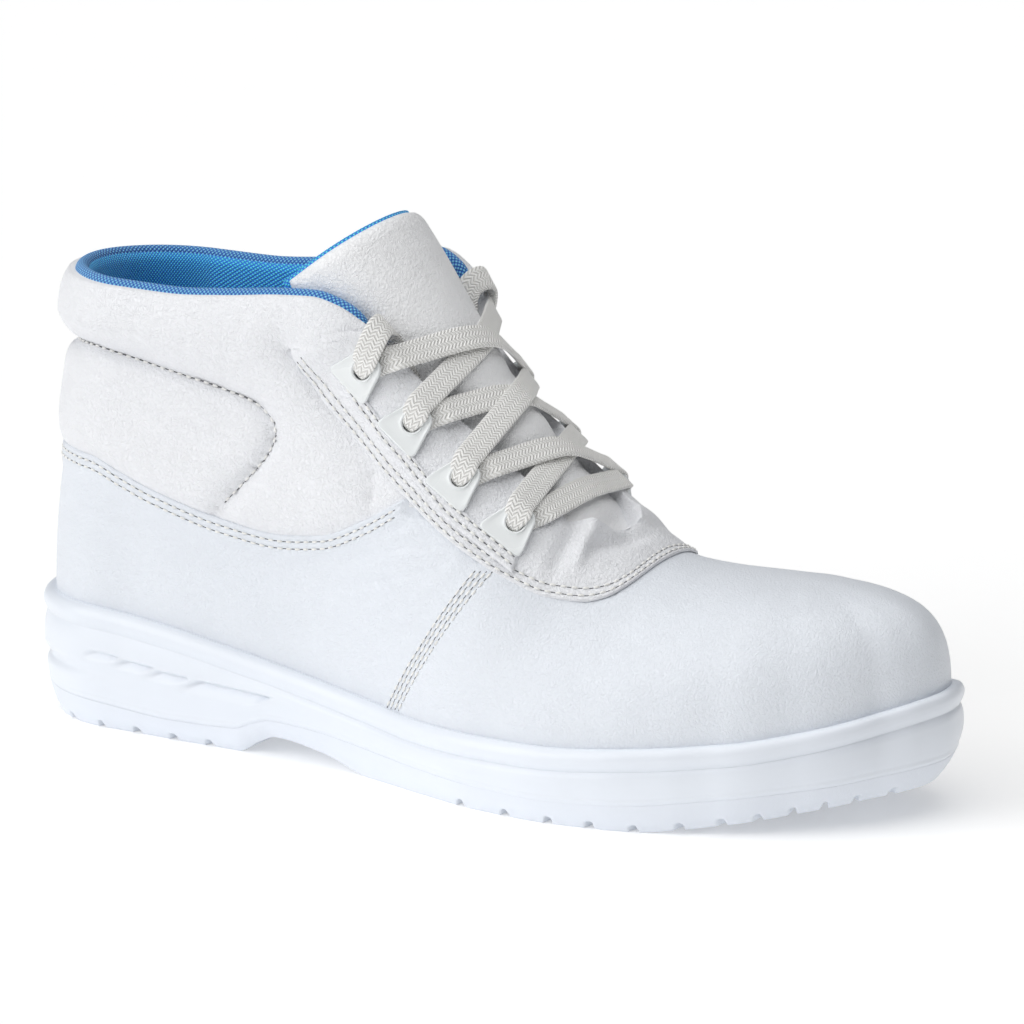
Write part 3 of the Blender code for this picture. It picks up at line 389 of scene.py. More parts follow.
def upper_normal(around, rise):
    """Outward direction of the upper's face."""
    around, rise = np.broadcast_arrays(np.asarray(around, float), np.asarray(rise, float))
    inside = np.minimum(rise, 1 - RISE_STEP)
    turn = upper_surface(around + TURN_STEP, inside) - upper_surface(around - TURN_STEP, inside)
    climb = upper_surface(around, inside + RISE_STEP) - upper_surface(around, inside - RISE_STEP)
    normal = unit(np.cross(climb, turn))
    walk = np.abs((around + WALK) % (2 * WALK) - WALK)
    on_ridge = (rise > 0.999) & (body_x(walk) >= THROAT_BOTTOM - 0.01)
    slope = (UPPER["edge_height"](walk + 1) - UPPER["edge_height"](walk - 1)) / 2
    ridge = np.stack([np.where(walk < TOE_START, -slope, 0), 0 * slope, 1 + 0 * slope], axis=-1)
    return np.where(on_ridge[..., None], unit(ridge), normal)


def offset_surface(around, rise, out):
    """The upper's face moved outward by a distance."""
    return upper_surface(around, rise) + np.asarray(out, float)[..., None] * upper_normal(around, rise)


def rise_at(around, height):
    """Where a section of the upper reaches a height."""
    around, height = np.broadcast_arrays(np.asarray(around, float), np.asarray(height, float))
    low = np.zeros(around.shape)
    high = np.ones(around.shape)
    for _ in range(HALVINGS):
        middle = (low + high) / 2
        under = upper_surface(around, middle)[..., 2] < height
        low = np.where(under, middle, low)
        high = np.where(under, high, middle)
    return (low + high) / 2


def rise_below_edge(around, distance):
    """Where a section of the upper lies a distance below its top edge, measured along the wall."""
    steps = np.linspace(1, 0, WALL_STEPS)
    return float(np.interp(distance, run_length(upper_surface(around, steps)), steps))


def outline_middle():
    """Middle of the sole's outline, where the boot's origin lies."""
    around = np.linspace(-WALK, WALK, OUTLINE_STEPS)
    wall = place(around, sole_reach(around), 0.0)
    return (wall.min(axis=0) + wall.max(axis=0)) / 2


ORIGIN = outline_middle()


def curve_through(points, count):
    """A smooth line through a few points, evenly spaced along its length."""
    points = np.asarray(points, float)
    padded = np.vstack([2 * points[0] - points[1], points, 2 * points[-1] - points[-2]])
    share = np.linspace(0, 1, 24, endpoint=False)[:, None]
    runs = []
    for a, b, c, d in zip(padded[:-3], padded[1:-2], padded[2:-1], padded[3:]):
        runs.append(b + share * (c - a) / 2 + share ** 2 * (a - 2.5 * b + 2 * c - d / 2)
                    + share ** 3 * (1.5 * b - a / 2 - 1.5 * c + d / 2))
    fine = np.vstack(runs + [points[-1:]])
    run = run_length(fine)
    return points_at(np.linspace(0, run[-1], count), run, fine)


def nearest_on(line, first, second):
    """Distance from a line in a flat view, and the share of the line at its nearest place."""
    nearest = np.full(np.broadcast(first, second).shape, 1e9)
    share = np.zeros(nearest.shape)
    for k, ((x0, z0), (x1, z1)) in enumerate(zip(line[:-1], line[1:])):
        square = (x1 - x0) ** 2 + (z1 - z0) ** 2
        u = np.clip(((first - x0) * (x1 - x0) + (second - z0) * (z1 - z0)) / square, 0, 1)
        off = np.hypot(first - x0 - u * (x1 - x0), second - z0 - u * (z1 - z0))
        share = np.where(off < nearest, (k + u) / (len(line) - 1), share)
        nearest = np.minimum(nearest, off)
    return nearest, share


GROOVE_LINE = curve_through(COLLAR_GROOVE, 60)
DART_LINE = curve_through(DART, 20)


def node(tree, kind, **settings):
    """Add a shader node; each setting is a socket's value or link, or an attribute of the node."""
    made = tree.nodes.new(kind)
    for name, value in settings.items():
        socket = made.inputs.get(name.replace("_", " ")) if name[0].isupper() else None
        if socket is None:
            setattr(made, name, value)
        elif isinstance(value, bpy.types.NodeSocket):
            tree.links.new(value, socket)
        else:
            socket.default_value = value
    return made


def math_node(tree, operation, first, second=0.0):
    """A calculation on one or two values."""
    made = tree.nodes.new("ShaderNodeMath")
    made.operation = operation
    for socket, value in zip(made.inputs, (first, second)):
        if isinstance(value, bpy.types.NodeSocket):
            tree.links.new(value, socket)
        else:
            socket.default_value = value
    return made.outputs[0]


def start_finish(name, **sockets):
    """A material with a Principled shader whose steady values are set on its own sockets."""
    made = bpy.data.materials.new(name)
    made.use_nodes = True
    tree = made.node_tree
    shader = tree.nodes["Principled BSDF"]
    for socket, value in sockets.items():
        shader.inputs[socket.replace("_", " ")].default_value = value
    return made, tree, shader


def ramp_colour(tree, shader, value, tones, stops):
    """Base colour that goes from one tone to another between two values."""
    ramp = node(tree, "ShaderNodeValToRGB", Fac=value)
    for element, tone, stop in zip(ramp.color_ramp.elements, tones, stops):
        element.position = stop
        element.color = (*tone, 1)
    tree.links.new(ramp.outputs["Color"], shader.inputs["Base Color"])


def vary_colour(tree, shader, vector, light, dark, scale):
    """A slow drift between two near tones over the surface."""
    drift = node(tree, "ShaderNodeTexNoise", Vector=vector, Scale=scale, Detail=3.0)
    ramp_colour(tree, shader, drift.outputs["Fac"], (dark, light), (0.3, 0.7))


def vary_roughness(tree, shader, vector, low, high, scale):
    """Gloss that changes a little over the surface."""
    patch = node(tree, "ShaderNodeTexNoise", Vector=vector, Scale=scale, Detail=2.0)
    spread = node(tree, "ShaderNodeMapRange", Value=patch.outputs["Fac"], To_Min=low, To_Max=high)
    tree.links.new(spread.outputs["Result"], shader.inputs["Roughness"])


def raise_surface(tree, shader, height, strength, distance):
    """Relief finer than the mesh."""
    bump = node(tree, "ShaderNodeBump", Height=height, Strength=strength, Distance=distance)
    tree.links.new(bump.outputs["Normal"], shader.inputs["Normal"])


def leather(name, light, dark, grain, depth, rough):
    """Coated leather: fine pebble grain with a net of creases between the pebbles."""
    made, tree, shader = start_finish(name, Coat_Weight=0.1, Coat_Roughness=0.4, Specular_IOR_Level=0.4)
    spot = node(tree, "ShaderNodeTexCoord").outputs["Object"]
    pebble = node(tree, "ShaderNodeTexVoronoi", Vector=spot, Scale=1 / grain, feature="SMOOTH_F1")
    pebble.inputs["Smoothness"].default_value = 0.6
    wrinkle = node(tree, "ShaderNodeTexNoise", Vector=spot, Scale=0.8 / grain, Detail=1.5, Distortion=0.8)
    net = math_node(tree, "ABSOLUTE", math_node(tree, "SUBTRACT", wrinkle.outputs["Fac"], 0.5))
    net = math_node(tree, "MINIMUM", math_node(tree, "MULTIPLY", net, 5.0), 0.6)
    high = math_node(tree, "SUBTRACT", net, pebble.outputs["Distance"])
    vary_colour(tree, shader, spot, light, dark, 45.0)
    vary_roughness(tree, shader, spot, rough - 0.06, rough + 0.06, 90.0)
    raise_surface(tree, shader, high, 0.7, depth)
    return made


def moulded(name, light, dark, rough, speckle, depth):
    """Moulded plastic with a faint surface texture."""
    made, tree, shader = start_finish(name, Coat_Weight=0.15, Coat_Roughness=0.25, Specular_IOR_Level=0.5)
    spot = node(tree, "ShaderNodeTexCoord").outputs["Object"]
    skin = node(tree, "ShaderNodeTexNoise", Vector=spot, Scale=1 / speckle, Detail=3.0)
    vary_colour(tree, shader, spot, light, dark, 30.0)
    vary_roughness(tree, shader, spot, rough - 0.05, rough + 0.07, 70.0)
    raise_surface(tree, shader, skin.outputs["Fac"], 0.4, depth)
    return made


def woven(name, light, dark, pitch, rough, depth):
    """Knitted mesh: bright knots on a darker ground, laid out along the cloth."""
    made, tree, shader = start_finish(name, Sheen_Weight=0.25, Sheen_Roughness=0.5)
    cloth = node(tree, "ShaderNodeSeparateXYZ", Vector=node(tree, "ShaderNodeTexCoord").outputs["UV"])
    across, up = cloth.outputs[0], cloth.outputs[1]
    turn = math.pi / pitch
    slants = [math_node(tree, way, across, up) for way in ("ADD", "SUBTRACT")]
    first, second = (math_node(tree, "SINE", math_node(tree, "MULTIPLY", slant, turn)) for slant in slants)
    knot = math_node(tree, "ABSOLUTE", math_node(tree, "MULTIPLY", first, second))
    ramp_colour(tree, shader, knot, (dark, light), (0.12, 0.85))
    shader.inputs["Roughness"].default_value = rough
    raise_surface(tree, shader, knot, 0.8, depth)
    return made


def fibre(name, light, dark, rough, strand):
    """Sewing thread with fine fibres."""
    made, tree, shader = start_finish(name, Sheen_Weight=0.2, Sheen_Roughness=0.4)
    spot = node(tree, "ShaderNodeTexCoord").outputs["Object"]
    hair = node(tree, "ShaderNodeTexNoise", Vector=spot, Scale=1 / strand, Detail=4.0)
    vary_colour(tree, shader, spot, light, dark, 400.0)
    vary_roughness(tree, shader, spot, rough - 0.05, rough + 0.05, 300.0)
    raise_surface(tree, shader, hair.outputs["Fac"], 0.5, 0.00012)
    return made


def braid(name, light, dark, lane, pitch, depth):
    """Flat braided lace: slanting yarns in lanes that lean to and fro across the band, with painted shade in
    the valleys between the yarns.
    """
    made, tree, shader = start_finish(name, Sheen_Weight=0.15, Sheen_Roughness=0.5, Roughness=0.7)
    cloth = node(tree, "ShaderNodeSeparateXYZ", Vector=node(tree, "ShaderNodeTexCoord").outputs["UV"])
    swing = math_node(tree, "PINGPONG", math_node(tree, "ADD", cloth.outputs[0], 20 * lane), lane)
    slanted = math_node(tree, "MULTIPLY_ADD", swing, 0.8)
    tree.links.new(cloth.outputs[1], slanted.node.inputs[2])
    yarn = math_node(tree, "SINE", math_node(tree, "MULTIPLY", slanted, 2 * math.pi / pitch))
    yarn = math_node(tree, "POWER", math_node(tree, "MULTIPLY_ADD", yarn, 0.5), 0.6)
    yarn.node.inputs[0].links[0].from_node.inputs[2].default_value = 0.5
    # The yarn's low places get the darker tone: painted shade between the yarns
    ramp_colour(tree, shader, yarn, (dark, light), (0, 0.7))
    raise_surface(tree, shader, yarn, 1.0, depth)
    return made


FINISH = {
    "grained": leather("grained_leather", (0.825, 0.86, 0.915), (0.80, 0.835, 0.89), 0.0008, 0.00018, 0.44),
    "soft": leather("soft_leather", (0.905, 0.915, 0.945), (0.89, 0.90, 0.93), 0.0009, 0.00032, 0.46),
    # Tongue: a lighter copy of the soft leather, painted light for the bright light on the upward-facing
    # tongue
    "tongue": leather("tongue_leather_painted_light", (0.965, 0.97, 0.985), (0.95, 0.955, 0.97), 0.0009, 0.0003, 0.46),
    "sole": moulded("moulded_sole", (0.825, 0.865, 0.925), (0.805, 0.845, 0.91), 0.34, 0.0012, 0.00003),
    "tread": moulded("moulded_tread", (0.82, 0.86, 0.925), (0.80, 0.84, 0.91), 0.5, 0.0007, 0.00018),
    "tab": moulded("moulded_tab", (0.85, 0.875, 0.88), (0.83, 0.86, 0.865), 0.26, 0.002, 0.00002),
    "mesh": woven("blue_mesh", (0.11, 0.85, 1.0), (0.007, 0.19, 0.9), 1.25, 0.75, 0.0005),
    "rim": woven("blue_knit", (0.24, 0.70, 1.0), (0.008, 0.11, 0.56), 1.4, 0.75, 0.0006),
    # The lace's darker tone is painted shade in the valleys between its yarns
    "lace": braid("lace_yarn", (0.99, 0.985, 0.965), (0.88, 0.87, 0.83), 1.35, 1.2, 0.0004),
    "thread": fibre("sewing_thread", (0.92, 0.915, 0.89), (0.86, 0.855, 0.83), 0.6, 0.0002),
    # Near-black stitch holes: painted shade inside the holes and painted shadow of the thread beside them
    "hole": moulded("stitch_hole_shade", (0.16, 0.16, 0.17), (0.10, 0.10, 0.11), 0.8, 0.0003, 0.00002),
}


def put(name, data):
    """A new object in the scene."""
    made = bpy.data.objects.new(name, data)
    bpy.context.collection.objects.link(made)
    return made


def add_piece(name, points, faces, finish, nodes=(), cloth=None, sharp=False):
    """A smooth mesh from points in the boot's millimetres, which stands for some solids."""
    mesh = bpy.data.meshes.new(name)
    mesh.from_pydata(((np.asarray(points) - ORIGIN) * MM).tolist(), [], np.asarray(faces).tolist())
    if cloth is not None:
        layer = mesh.uv_layers.new(name="cloth")
        corners = np.empty(len(mesh.loops), dtype=np.int32)
        mesh.loops.foreach_get("vertex_index", corners)
        layer.data.foreach_set("uv", np.asarray(cloth, np.float32)[corners].ravel())
    shape = bmesh.new()
    shape.from_mesh(mesh)
    bmesh.ops.remove_doubles(shape, verts=shape.verts, dist=1e-7)
    bmesh.ops.dissolve_degenerate(shape, edges=shape.edges, dist=1e-8)
    crowded = [edge for edge in shape.edges if len(edge.link_faces) > 2]
    inside = {face for edge in crowded for face in edge.link_faces
              if sum(len(other.link_faces) > 2 for other in face.edges) > 1}
    bmesh.ops.delete(shape, geom=list(inside), context="FACES")
    bmesh.ops.recalc_face_normals(shape, faces=shape.faces)
    shape.to_mesh(mesh)
    shape.free()
    mesh.shade_smooth()
    if sharp:
        mesh.set_sharp_from_angle(angle=SHARP_ANGLE)
    mesh.materials.append(FINISH[finish])
    made = put(name, mesh)
    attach(made, "root")
    if nodes:
        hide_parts(*nodes)
    return made


def grid_quads(columns, rows, ring=False, keep=None):
    """Corner numbers of the cells of a grid, joined up round a ring if need be."""
    index = np.arange(columns * rows).reshape(columns, rows)
    here = index if ring else index[:-1]
    there = np.roll(index, -1, axis=0) if ring else index[1:]
    quads = np.stack([here[:, :-1], there[:, :-1], there[:, 1:], here[:, 1:]], axis=-1)
    return quads[keep] if keep is not None else quads.reshape(-1, 4)


def closed_patch(outer, inner, ring=False, keep=None):
    """Points and faces of a solid between two grids of the same size."""
    columns, rows = outer.shape[:2]
    count = columns * rows
    front = grid_quads(columns, rows, ring, keep)
    edges = np.concatenate([front[:, [k, (k + 1) % 4]] for k in range(4)])
    keys = np.sort(edges, axis=1)
    numbers = keys[:, 0] * count + keys[:, 1]
    once = np.unique(numbers, return_counts=True)
    rim = edges[np.isin(numbers, once[0][once[1] == 1])]
    walls = np.stack([rim[:, 1], rim[:, 0], rim[:, 0] + count, rim[:, 1] + count], axis=-1)
    points = np.concatenate([outer.reshape(-1, 3), inner.reshape(-1, 3)])
    used = np.concatenate([front, front[:, ::-1] + count, walls])
    names, packed = np.unique(used, return_inverse=True)
    return points[names], packed.reshape(used.shape), names


def add_patch(name, outer, inner, finish, nodes=(), ring=False, keep=None, cloth=None, sharp=False):
    """A closed sheet with a real thickness."""
    points, faces, names = closed_patch(outer, inner, ring, keep)
    if cloth is not None:
        cloth = np.concatenate([cloth.reshape(-1, 2)] * 2)[names]
    return add_piece(name, points, faces, finish, nodes, cloth, sharp)


def add_loft(name, points, finish, nodes=(), cloth=None, sharp=False):
    """A closed body of rings: columns run round it and rows from its underside to its top."""
    columns, rows = points.shape[:2]
    faces = grid_quads(columns, rows, True)
    return add_piece(name, points.reshape(-1, 3), faces, finish, nodes, cloth, sharp)


# Sole: depth of the rim, share of the wall's slant above the parting, lip of the cup, and bulge of the tread
RIM_DEPTH = 6.5
PARTING_SLANT = 0.3
CUP_LIP = 2.5
TREAD_BULGE = 0.5

# Sole wall, from the parting up to the groove under the rim, as a share of its height and a step outward
WALL_SHAPE = table(("part", "out"), [
    (0, -0.2), (0.12, -0.35), (0.3, -0.2), (0.55, 0.0), (0.8, -0.25), (0.92, -0.7), (1, -1.25),
])
RIM_SHAPE = table(("turn", "out", "drop"), [
    (0, -1.25, RIM_DEPTH), (0.15, -0.7, 5.6), (0.35, -0.15, 4.2), (0.5, 0.0, 3.0), (0.65, -0.4, 1.6),
    (0.8, -1.3, 0.5), (0.92, -2.7, 0.0), (1, -4.1, 0.1),
])

# Moulded bead above the parting, and the rib round the heel with the place where it fades out
BEAD_OUT = 0.3
BEAD_HEIGHT = 1.1
BEAD_WIDTH = 0.7
RIB_DEPTH = 1.9
RIB_PART = 0.42
RIB_WIDTH = 1.9 / 22
RIB_END = (4, 52)

# Scoops moulded in the heel's side: distance along, height, length, width, slope and depth
SCOOPS = [
    (35, 23.6, 11, 3.2, 0.06, 1.7), (47.5, 22.0, 11, 3.4, 0.06, 1.8), (60, 20.4, 11, 3.6, 0.06, 1.9),
    (81, 18.4, 26, 4.6, 0.06, 2.2),
]
SCOOP_SHEAR = 1.9
SCOOP_ENDS = (-1.2, 1.6)
SCOOP_EDGE = (-0.6, 0.5)
SCOOP_RAMP = 1.3


def scoop_depth(along, height):
    """How far the heel's wall is scooped in: a ramp that deepens upward to a sharp upper edge."""
    depth = np.zeros(np.broadcast(along, height).shape)
    for middle, level, length, width, slope, deep in SCOOPS:
        up = height - level + slope * (along - middle)
        shifted = along - middle - SCOOP_SHEAR * up
        ends = blend(length / 2 - np.abs(shifted), *SCOOP_ENDS)
        ramp = np.clip((up + width / 2) / width, 0, 1) ** SCOOP_RAMP * blend(width / 2 - up, *SCOOP_EDGE)
        depth = np.maximum(depth, deep * ends * ramp)
    return depth


def ring(count):
    """Places all round the boot."""
    return np.linspace(-WALK, WALK, count, endpoint=False)


def make_sole_body():
    """The sole's wall with its rim, groove, heel ribs and scoops."""
    columns, wall_rows, rim_rows = SOLE_GRID
    around = ring(columns)
    reach = sole_reach(around)
    at = place(around, reach, 0.0)[:, 0]
    slant = SOLE_SIDE["slant"](at)
    feather, parting = SOLE_SIDE["feather"], SOLE_SIDE["parting"]
    along = body_x(np.abs(around))
    rows = [place(around, share * (reach - PARTING_SLANT * slant - 0.5), parting)
            for share in (0, 0.5, 1)]
    for part in np.linspace(0, 1, wall_rows):
        def height(x, part=part):
            return parting(x) + part * (feather(x) - RIM_DEPTH - parting(x))
        out = WALL_SHAPE["out"](part) - PARTING_SLANT * slant * (1 - part) ** 4
        level = height(at)
        out = out + BEAD_OUT * bell(level - parting(at) - BEAD_HEIGHT, BEAD_WIDTH)
        out = out - RIB_DEPTH * (1 - blend(at, *RIB_END)) * bell(part - RIB_PART, RIB_WIDTH)
        out = out - scoop_depth(along, level)
        rows.append(place(around, reach + out, height))
    for turn in np.linspace(0, 1, rim_rows)[1:]:
        drop = RIM_SHAPE["drop"](turn)
        rows.append(place(around, reach + RIM_SHAPE["out"](turn), lambda x: feather(x) - drop))
    cup = reach - RIM_WIDTH - 0.1
    rows += [place(around, cup, lambda x: feather(x) - CUP_LIP)]
    rows += [place(around, cup * share, lambda x: feather(x) - CUP_DEPTH - GAP) for share in (1, 0.5, 0)]
    add_loft("sole_body", np.stack(rows, axis=1), "sole", ("midsole",), sharp=True)


GROOVE_DEPTH = 2.3
GROOVE_WIDTH = 2.6
GROOVE_SLANT = 12.0
GROOVE_END = 0.22
GROOVE_FADE = 0.06
GROOVE_EDGE = (-0.3, 0.5)

# Walk from the back of the heel to each notch in the tread's edge
NOTCHES = (22.0, 38.0, 54.3, 69.5, 83.5, 96.6, 194.9, 211.1, 225.7, 238.6, 251.6, 264.0, 275.3, 286.0, 297.5,
           309.0, 320.9, 334.3)


def tread_groove(around, share):
    """Share of the full groove depth at a place under the sole; share is 1 at the edge and 0 at the spine."""
    walk = np.abs(around)
    cut = np.zeros(np.broadcast(around, share).shape)
    for notch in NOTCHES:
        off = (walk - notch - GROOVE_SLANT * (1 - share)) * np.clip(share, 0.3, 1)
        cut = np.maximum(cut, blend(GROOVE_WIDTH / 2 - np.abs(off), *GROOVE_EDGE))
    return cut * blend(share, GROOVE_END, GROOVE_END + GROOVE_FADE)


def make_tread():
    """The tread layer: a textured side band with notches, and lugs between slanting grooves underneath."""
    columns, under_rows, side_rows = TREAD_GRID
    around = ring(columns)
    reach = sole_reach(around)
    at = place(around, reach, 0.0)[:, 0]
    slant = SOLE_SIDE["slant"](at)
    tread, parting = SOLE_SIDE["tread"], SOLE_SIDE["parting"]
    low, high = reach - slant, reach - PARTING_SLANT * slant - 0.1
    shares = np.linspace(0, 1, under_rows) ** 0.8
    rows = [place(around, share * low, tread) for share in shares]
    parts = np.linspace(0, 1, side_rows)[1:] ** 1.3
    for part in parts:
        bulge = TREAD_BULGE * math.sin(math.pi * part)
        rows.append(place(around, low + (high - low) * part + bulge,
                          lambda x: tread(x) + part * (parting(x) - tread(x))))
    points = np.stack(rows, axis=1)
    cut = tread_groove(around[:, None], np.concatenate([shares, 0 * parts + 1]))
    points[..., 2] = np.maximum(points[..., 2], tread(points[..., 0]) + GROOVE_DEPTH * cut)
    top = [place(around, high * share, parting) for share in (0.97, 0.5, 0)]
    points = np.concatenate([points, np.stack(top, axis=1)], axis=1)
    add_loft("sole_tread", points, "tread", ("outsole",), sharp=True)


# Raised edge along the quarter's top and how it fades and rounds, and the leather's dip under the eyestay
LIP_OUT = 1.0
LIP_FADE = (3, 9)
LIP_ROUND = 0.9
UNDER_FACING = 0.7
UNDER_FADE = (3.5, 5.5)

# Lap of the side seam and how it fades, depth and width of a stitched line, and the leather's thickness
LAP_OUT = 0.75
LAP_EDGE = 0.35
LAP_FADE = (12, 34)
STITCH_SINK = 0.28
STITCH_WIDE = 0.7
STITCH_NARROW = 0.6
LEATHER = 1.1

# Distance under the top edge that is given to the closed toe, which has no such edge
FAR_BELOW = 40

# Distances of the rows of stitches from the edges of the panels
QUARTER_ROWS = (2.0, 4.2)
SIDE_ROWS = (0.8, 2.1, 3.5, 4.8)
SIDE_SQUARE = 0.83
FACING_ROWS = (1.3, 3.3)
FACING_THIN = 0.8
STRIP_ROWS = (1.3, 3.7)

# Creases in the quarter: a line in the side view from its deep end, width and depth
CREASES = [
    ([(147, 79.0), (137, 75.8), (127, 74.0), (112, 68.0)], 1.1, 0.34),
    ([(156, 76.0), (150, 75.6), (140, 73.2), (126, 69.6)], 1.1, 0.30),
    ([(162, 73.0), (151, 73.2), (140, 70.6), (127, 65.6), (116, 60.0)], 1.2, 0.42),
    ([(163, 71.4), (152, 69.6), (143, 66.6), (131, 62.4)], 1.1, 0.34),
    ([(163, 70.4), (152, 66.2), (141, 62.0), (127, 58.4), (114, 53.0)], 1.3, 0.40),
    ([(160, 67.0), (152, 63.0), (144, 58.6), (128, 52.4)], 1.3, 0.32),
    ([(154, 61.0), (146, 55.6), (136, 50.0), (122, 46.0)], 1.5, 0.26),
    ([(122, 73.4), (112, 69.4), (100, 64.6), (90, 58.0)], 1.3, 0.26),
]

# Creases and folds: share that swells up beside a crease, points along a line, how it starts and ends as
# shares of its length, and how many widths off the swell lies
CREASE_BESIDE = 0.45
LINE_STEPS = 14
LINE_START = (-0.15, 0.2)
LINE_END = (0.45, 1)
SWELL_OFF = 2.2


def soft_lines(lines, first, second, beside):
    """Depth of soft troughs along lines, fading to their far ends, with a share of it raised beside them."""
    depth = np.zeros(np.broadcast(first, second).shape)
    for spots, width, deep in lines:
        nearest, share = nearest_on(curve_through(spots, LINE_STEPS), first, second)
        fade = blend(share, *LINE_START) * (1 - blend(share, *LINE_END))
        swell = beside * bell(nearest - SWELL_OFF * width, width)
        depth = depth + deep * fade * (bell(nearest, width) - swell)
    return depth


def shell_top(along):
    """Height where the grained leather ends: the quarter's edge, or hidden under the eyestay."""
    under = FACING_FRONT_EDGE["height"](along) + 6 * blend(along, FACING_SEAM_END, FACING_SEAM_END + 10)
    return np.where(along < FACING_SEAM_END, QUARTER_SEAM["height"](along), under)


def shell_out(around, rise, below):
    """Offset of the grained leather; below is the distance under its top edge."""
    points = upper_surface(around, rise)
    along, height = body_x(np.abs(around)), points[..., 2]
    at_quarter = 1 - blend(along, FACING_SEAM_END - 2, FACING_SEAM_END + 2)
    out = at_quarter * LIP_OUT * (1 - blend(below, *LIP_FADE)) * dome(below + 0.12, LIP_ROUND)
    out = out - (1 - at_quarter) * UNDER_FACING * (1 - blend(below, *UNDER_FADE))
    for row in QUARTER_ROWS:
        out = out - at_quarter * STITCH_SINK * bell(below - row, STITCH_WIDE)
    seam = SIDE_SQUARE * (along - SIDE_SEAM["along"](height))
    lapped = blend(seam, -LAP_EDGE, LAP_EDGE) * (1 - blend(seam, *LAP_FADE))
    out = out + LAP_OUT * lapped
    for row in SIDE_ROWS:
        out = out - STITCH_SINK * bell(seam - row, STITCH_NARROW)
    return out - soft_lines(CREASES, along, height, CREASE_BESIDE)


def make_shell():
    """Vamp and quarters in grained leather, with the lapped side seams."""
    around = ring(SHELL_GRID[0])
    along = body_x(np.abs(around))
    top = np.where(along > FACING_FRONT - 1, 1.0, rise_at(around, shell_top(along)))
    share = 1 - (1 - np.linspace(0, 1, SHELL_GRID[1])) ** 1.25
    low = np.array([-0.7, -0.35])
    rise = np.concatenate([np.broadcast_to(low, (len(around), 2)), top[:, None] * share], axis=1)
    place_grid = np.broadcast_to(around[:, None], rise.shape)
    below = run_length(upper_surface(place_grid, rise)[:, ::-1])[:, ::-1]
    below[along > FACING_FRONT - 4] = FAR_BELOW
    out = shell_out(place_grid, rise, below)
    outer = offset_surface(place_grid, rise, out)
    inner = offset_surface(place_grid, rise, np.minimum(out, 0) - LEATHER)
    add_patch("vamp_and_quarters", outer, inner, "grained", ("upper",), ring=True)


def facing_top(along):
    """Height of the line where the eyestay goes over into the collar roll."""
    along = np.asarray(along, float)
    return COLLAR_MIDDLE["height"](along) + FACING_TOP_SLOPE * np.maximum(along - FACING_BACK, 0)


def throat_lip(side):
    """Where the top line of the eyestay meets the throat edge."""
    x = np.linspace(FACING_BACK, THROAT_BOTTOM, 900)
    return float(x[np.argmax(edge_top(side * body(x)) < facing_top(x))])


# Foam: flat along the groove, radius of its rounding at each edge, and where it goes from thin to thick
GROOVE_FLAT = 0.6
PAD_ROUND = {"groove": 9, "seam": 15, "top": 13, "dart": 13, "throat": 22}
PAD_LEVELS = (108, 124)


def padding(side, along, height, top):
    """Foam under the soft leather: thin at its edges, groove and dart, round between them."""
    pad = dome(np.maximum(nearest_on(GROOVE_LINE, along, height)[0] - GROOVE_FLAT, 0), PAD_ROUND["groove"])
    pad = pad * dome(height - QUARTER_SEAM["height"](along) + 0.5, PAD_ROUND["seam"])
    pad = pad * dome(top - height + 1.5, PAD_ROUND["top"])
    behind = along < FACING_EDGE["along"](height) + 0.5
    at_dart = dome(nearest_on(DART_LINE, along, height)[0] + 0.3, PAD_ROUND["dart"])
    pad = pad * np.where(behind | (height > FACING_TOP - 2), at_dart, 0)
    pad = pad * dome(np.maximum(throat_lip(side) + 3 - along, 0), PAD_ROUND["throat"])
    return (LOW_PADDING + (HIGH_PADDING - LOW_PADDING) * blend(height, *PAD_LEVELS)) * pad


# Collar leather under the foam: its offset, the climb to the eyestay's, and how it tucks under the quarter
COLLAR_OUT = 0.3
COLLAR_CLIMB = 8
COLLAR_FOOT = (-1, 4)
COLLAR_TUCK = 0.4


def collar_out(side, along, height, top):
    """Offset of the collar's leather; at the dart it lies under the eyestay's edge."""
    base = COLLAR_OUT + (FACING_OUT - COLLAR_OUT) * blend(height, FACING_TOP - COLLAR_CLIMB, FACING_TOP)
    base = base * blend(height - QUARTER_SEAM["height"](along), *COLLAR_FOOT) - COLLAR_TUCK
    base = np.where(height > FACING_TOP, FACING_OUT, base)
    return base + padding(side, along, height, top)


def collar_side(side, columns, extra, low_rows, high_rows):
    """Places and rises of the collar on one side, from the back to its front end, row by row."""
    share = np.linspace(0, 1, columns + 1)
    ahead = np.linspace(0, 1, extra + 1)[1:]
    seam_end = float(QUARTER_SEAM["height"](FACING_SEAM_END))
    corner = throat_lip(side)
    walks, rises = [], []
    for v in np.linspace(0, 1, low_rows + 1):
        front = float(FACING_EDGE["along"](seam_end + v * (FACING_TOP - seam_end)))
        tuck = 8 * (1 - v ** 6)
        walk = np.concatenate([share * body(front + tuck), body(front + tuck) + 0 * ahead])
        if v == 1:
            walk[columns + 1:] = body(front + ahead * (corner - front))
        start = rise_at(side * walk, QUARTER_SEAM["height"](body_x(walk)) - 2.5)
        walks.append(walk)
        rises.append(start + v * (rise_at(side * walk, facing_top(body_x(walk))) - start))
    for v in np.linspace(0, 1, high_rows + 1)[1:]:
        end = corner - COLLAR_SHORT * v
        walk = np.concatenate([share * body(front), body(front + ahead * (end - front))])
        start = rise_at(side * walk, facing_top(body_x(walk)))
        walks.append(walk)
        rises.append(start + v * (1 - start))
    around, rise = side * np.array(walks).T, np.array(rises).T
    points = upper_surface(around, rise)
    out = collar_out(side, body_x(np.abs(around)), points[..., 2], edge_top(around))
    return around, rise, out


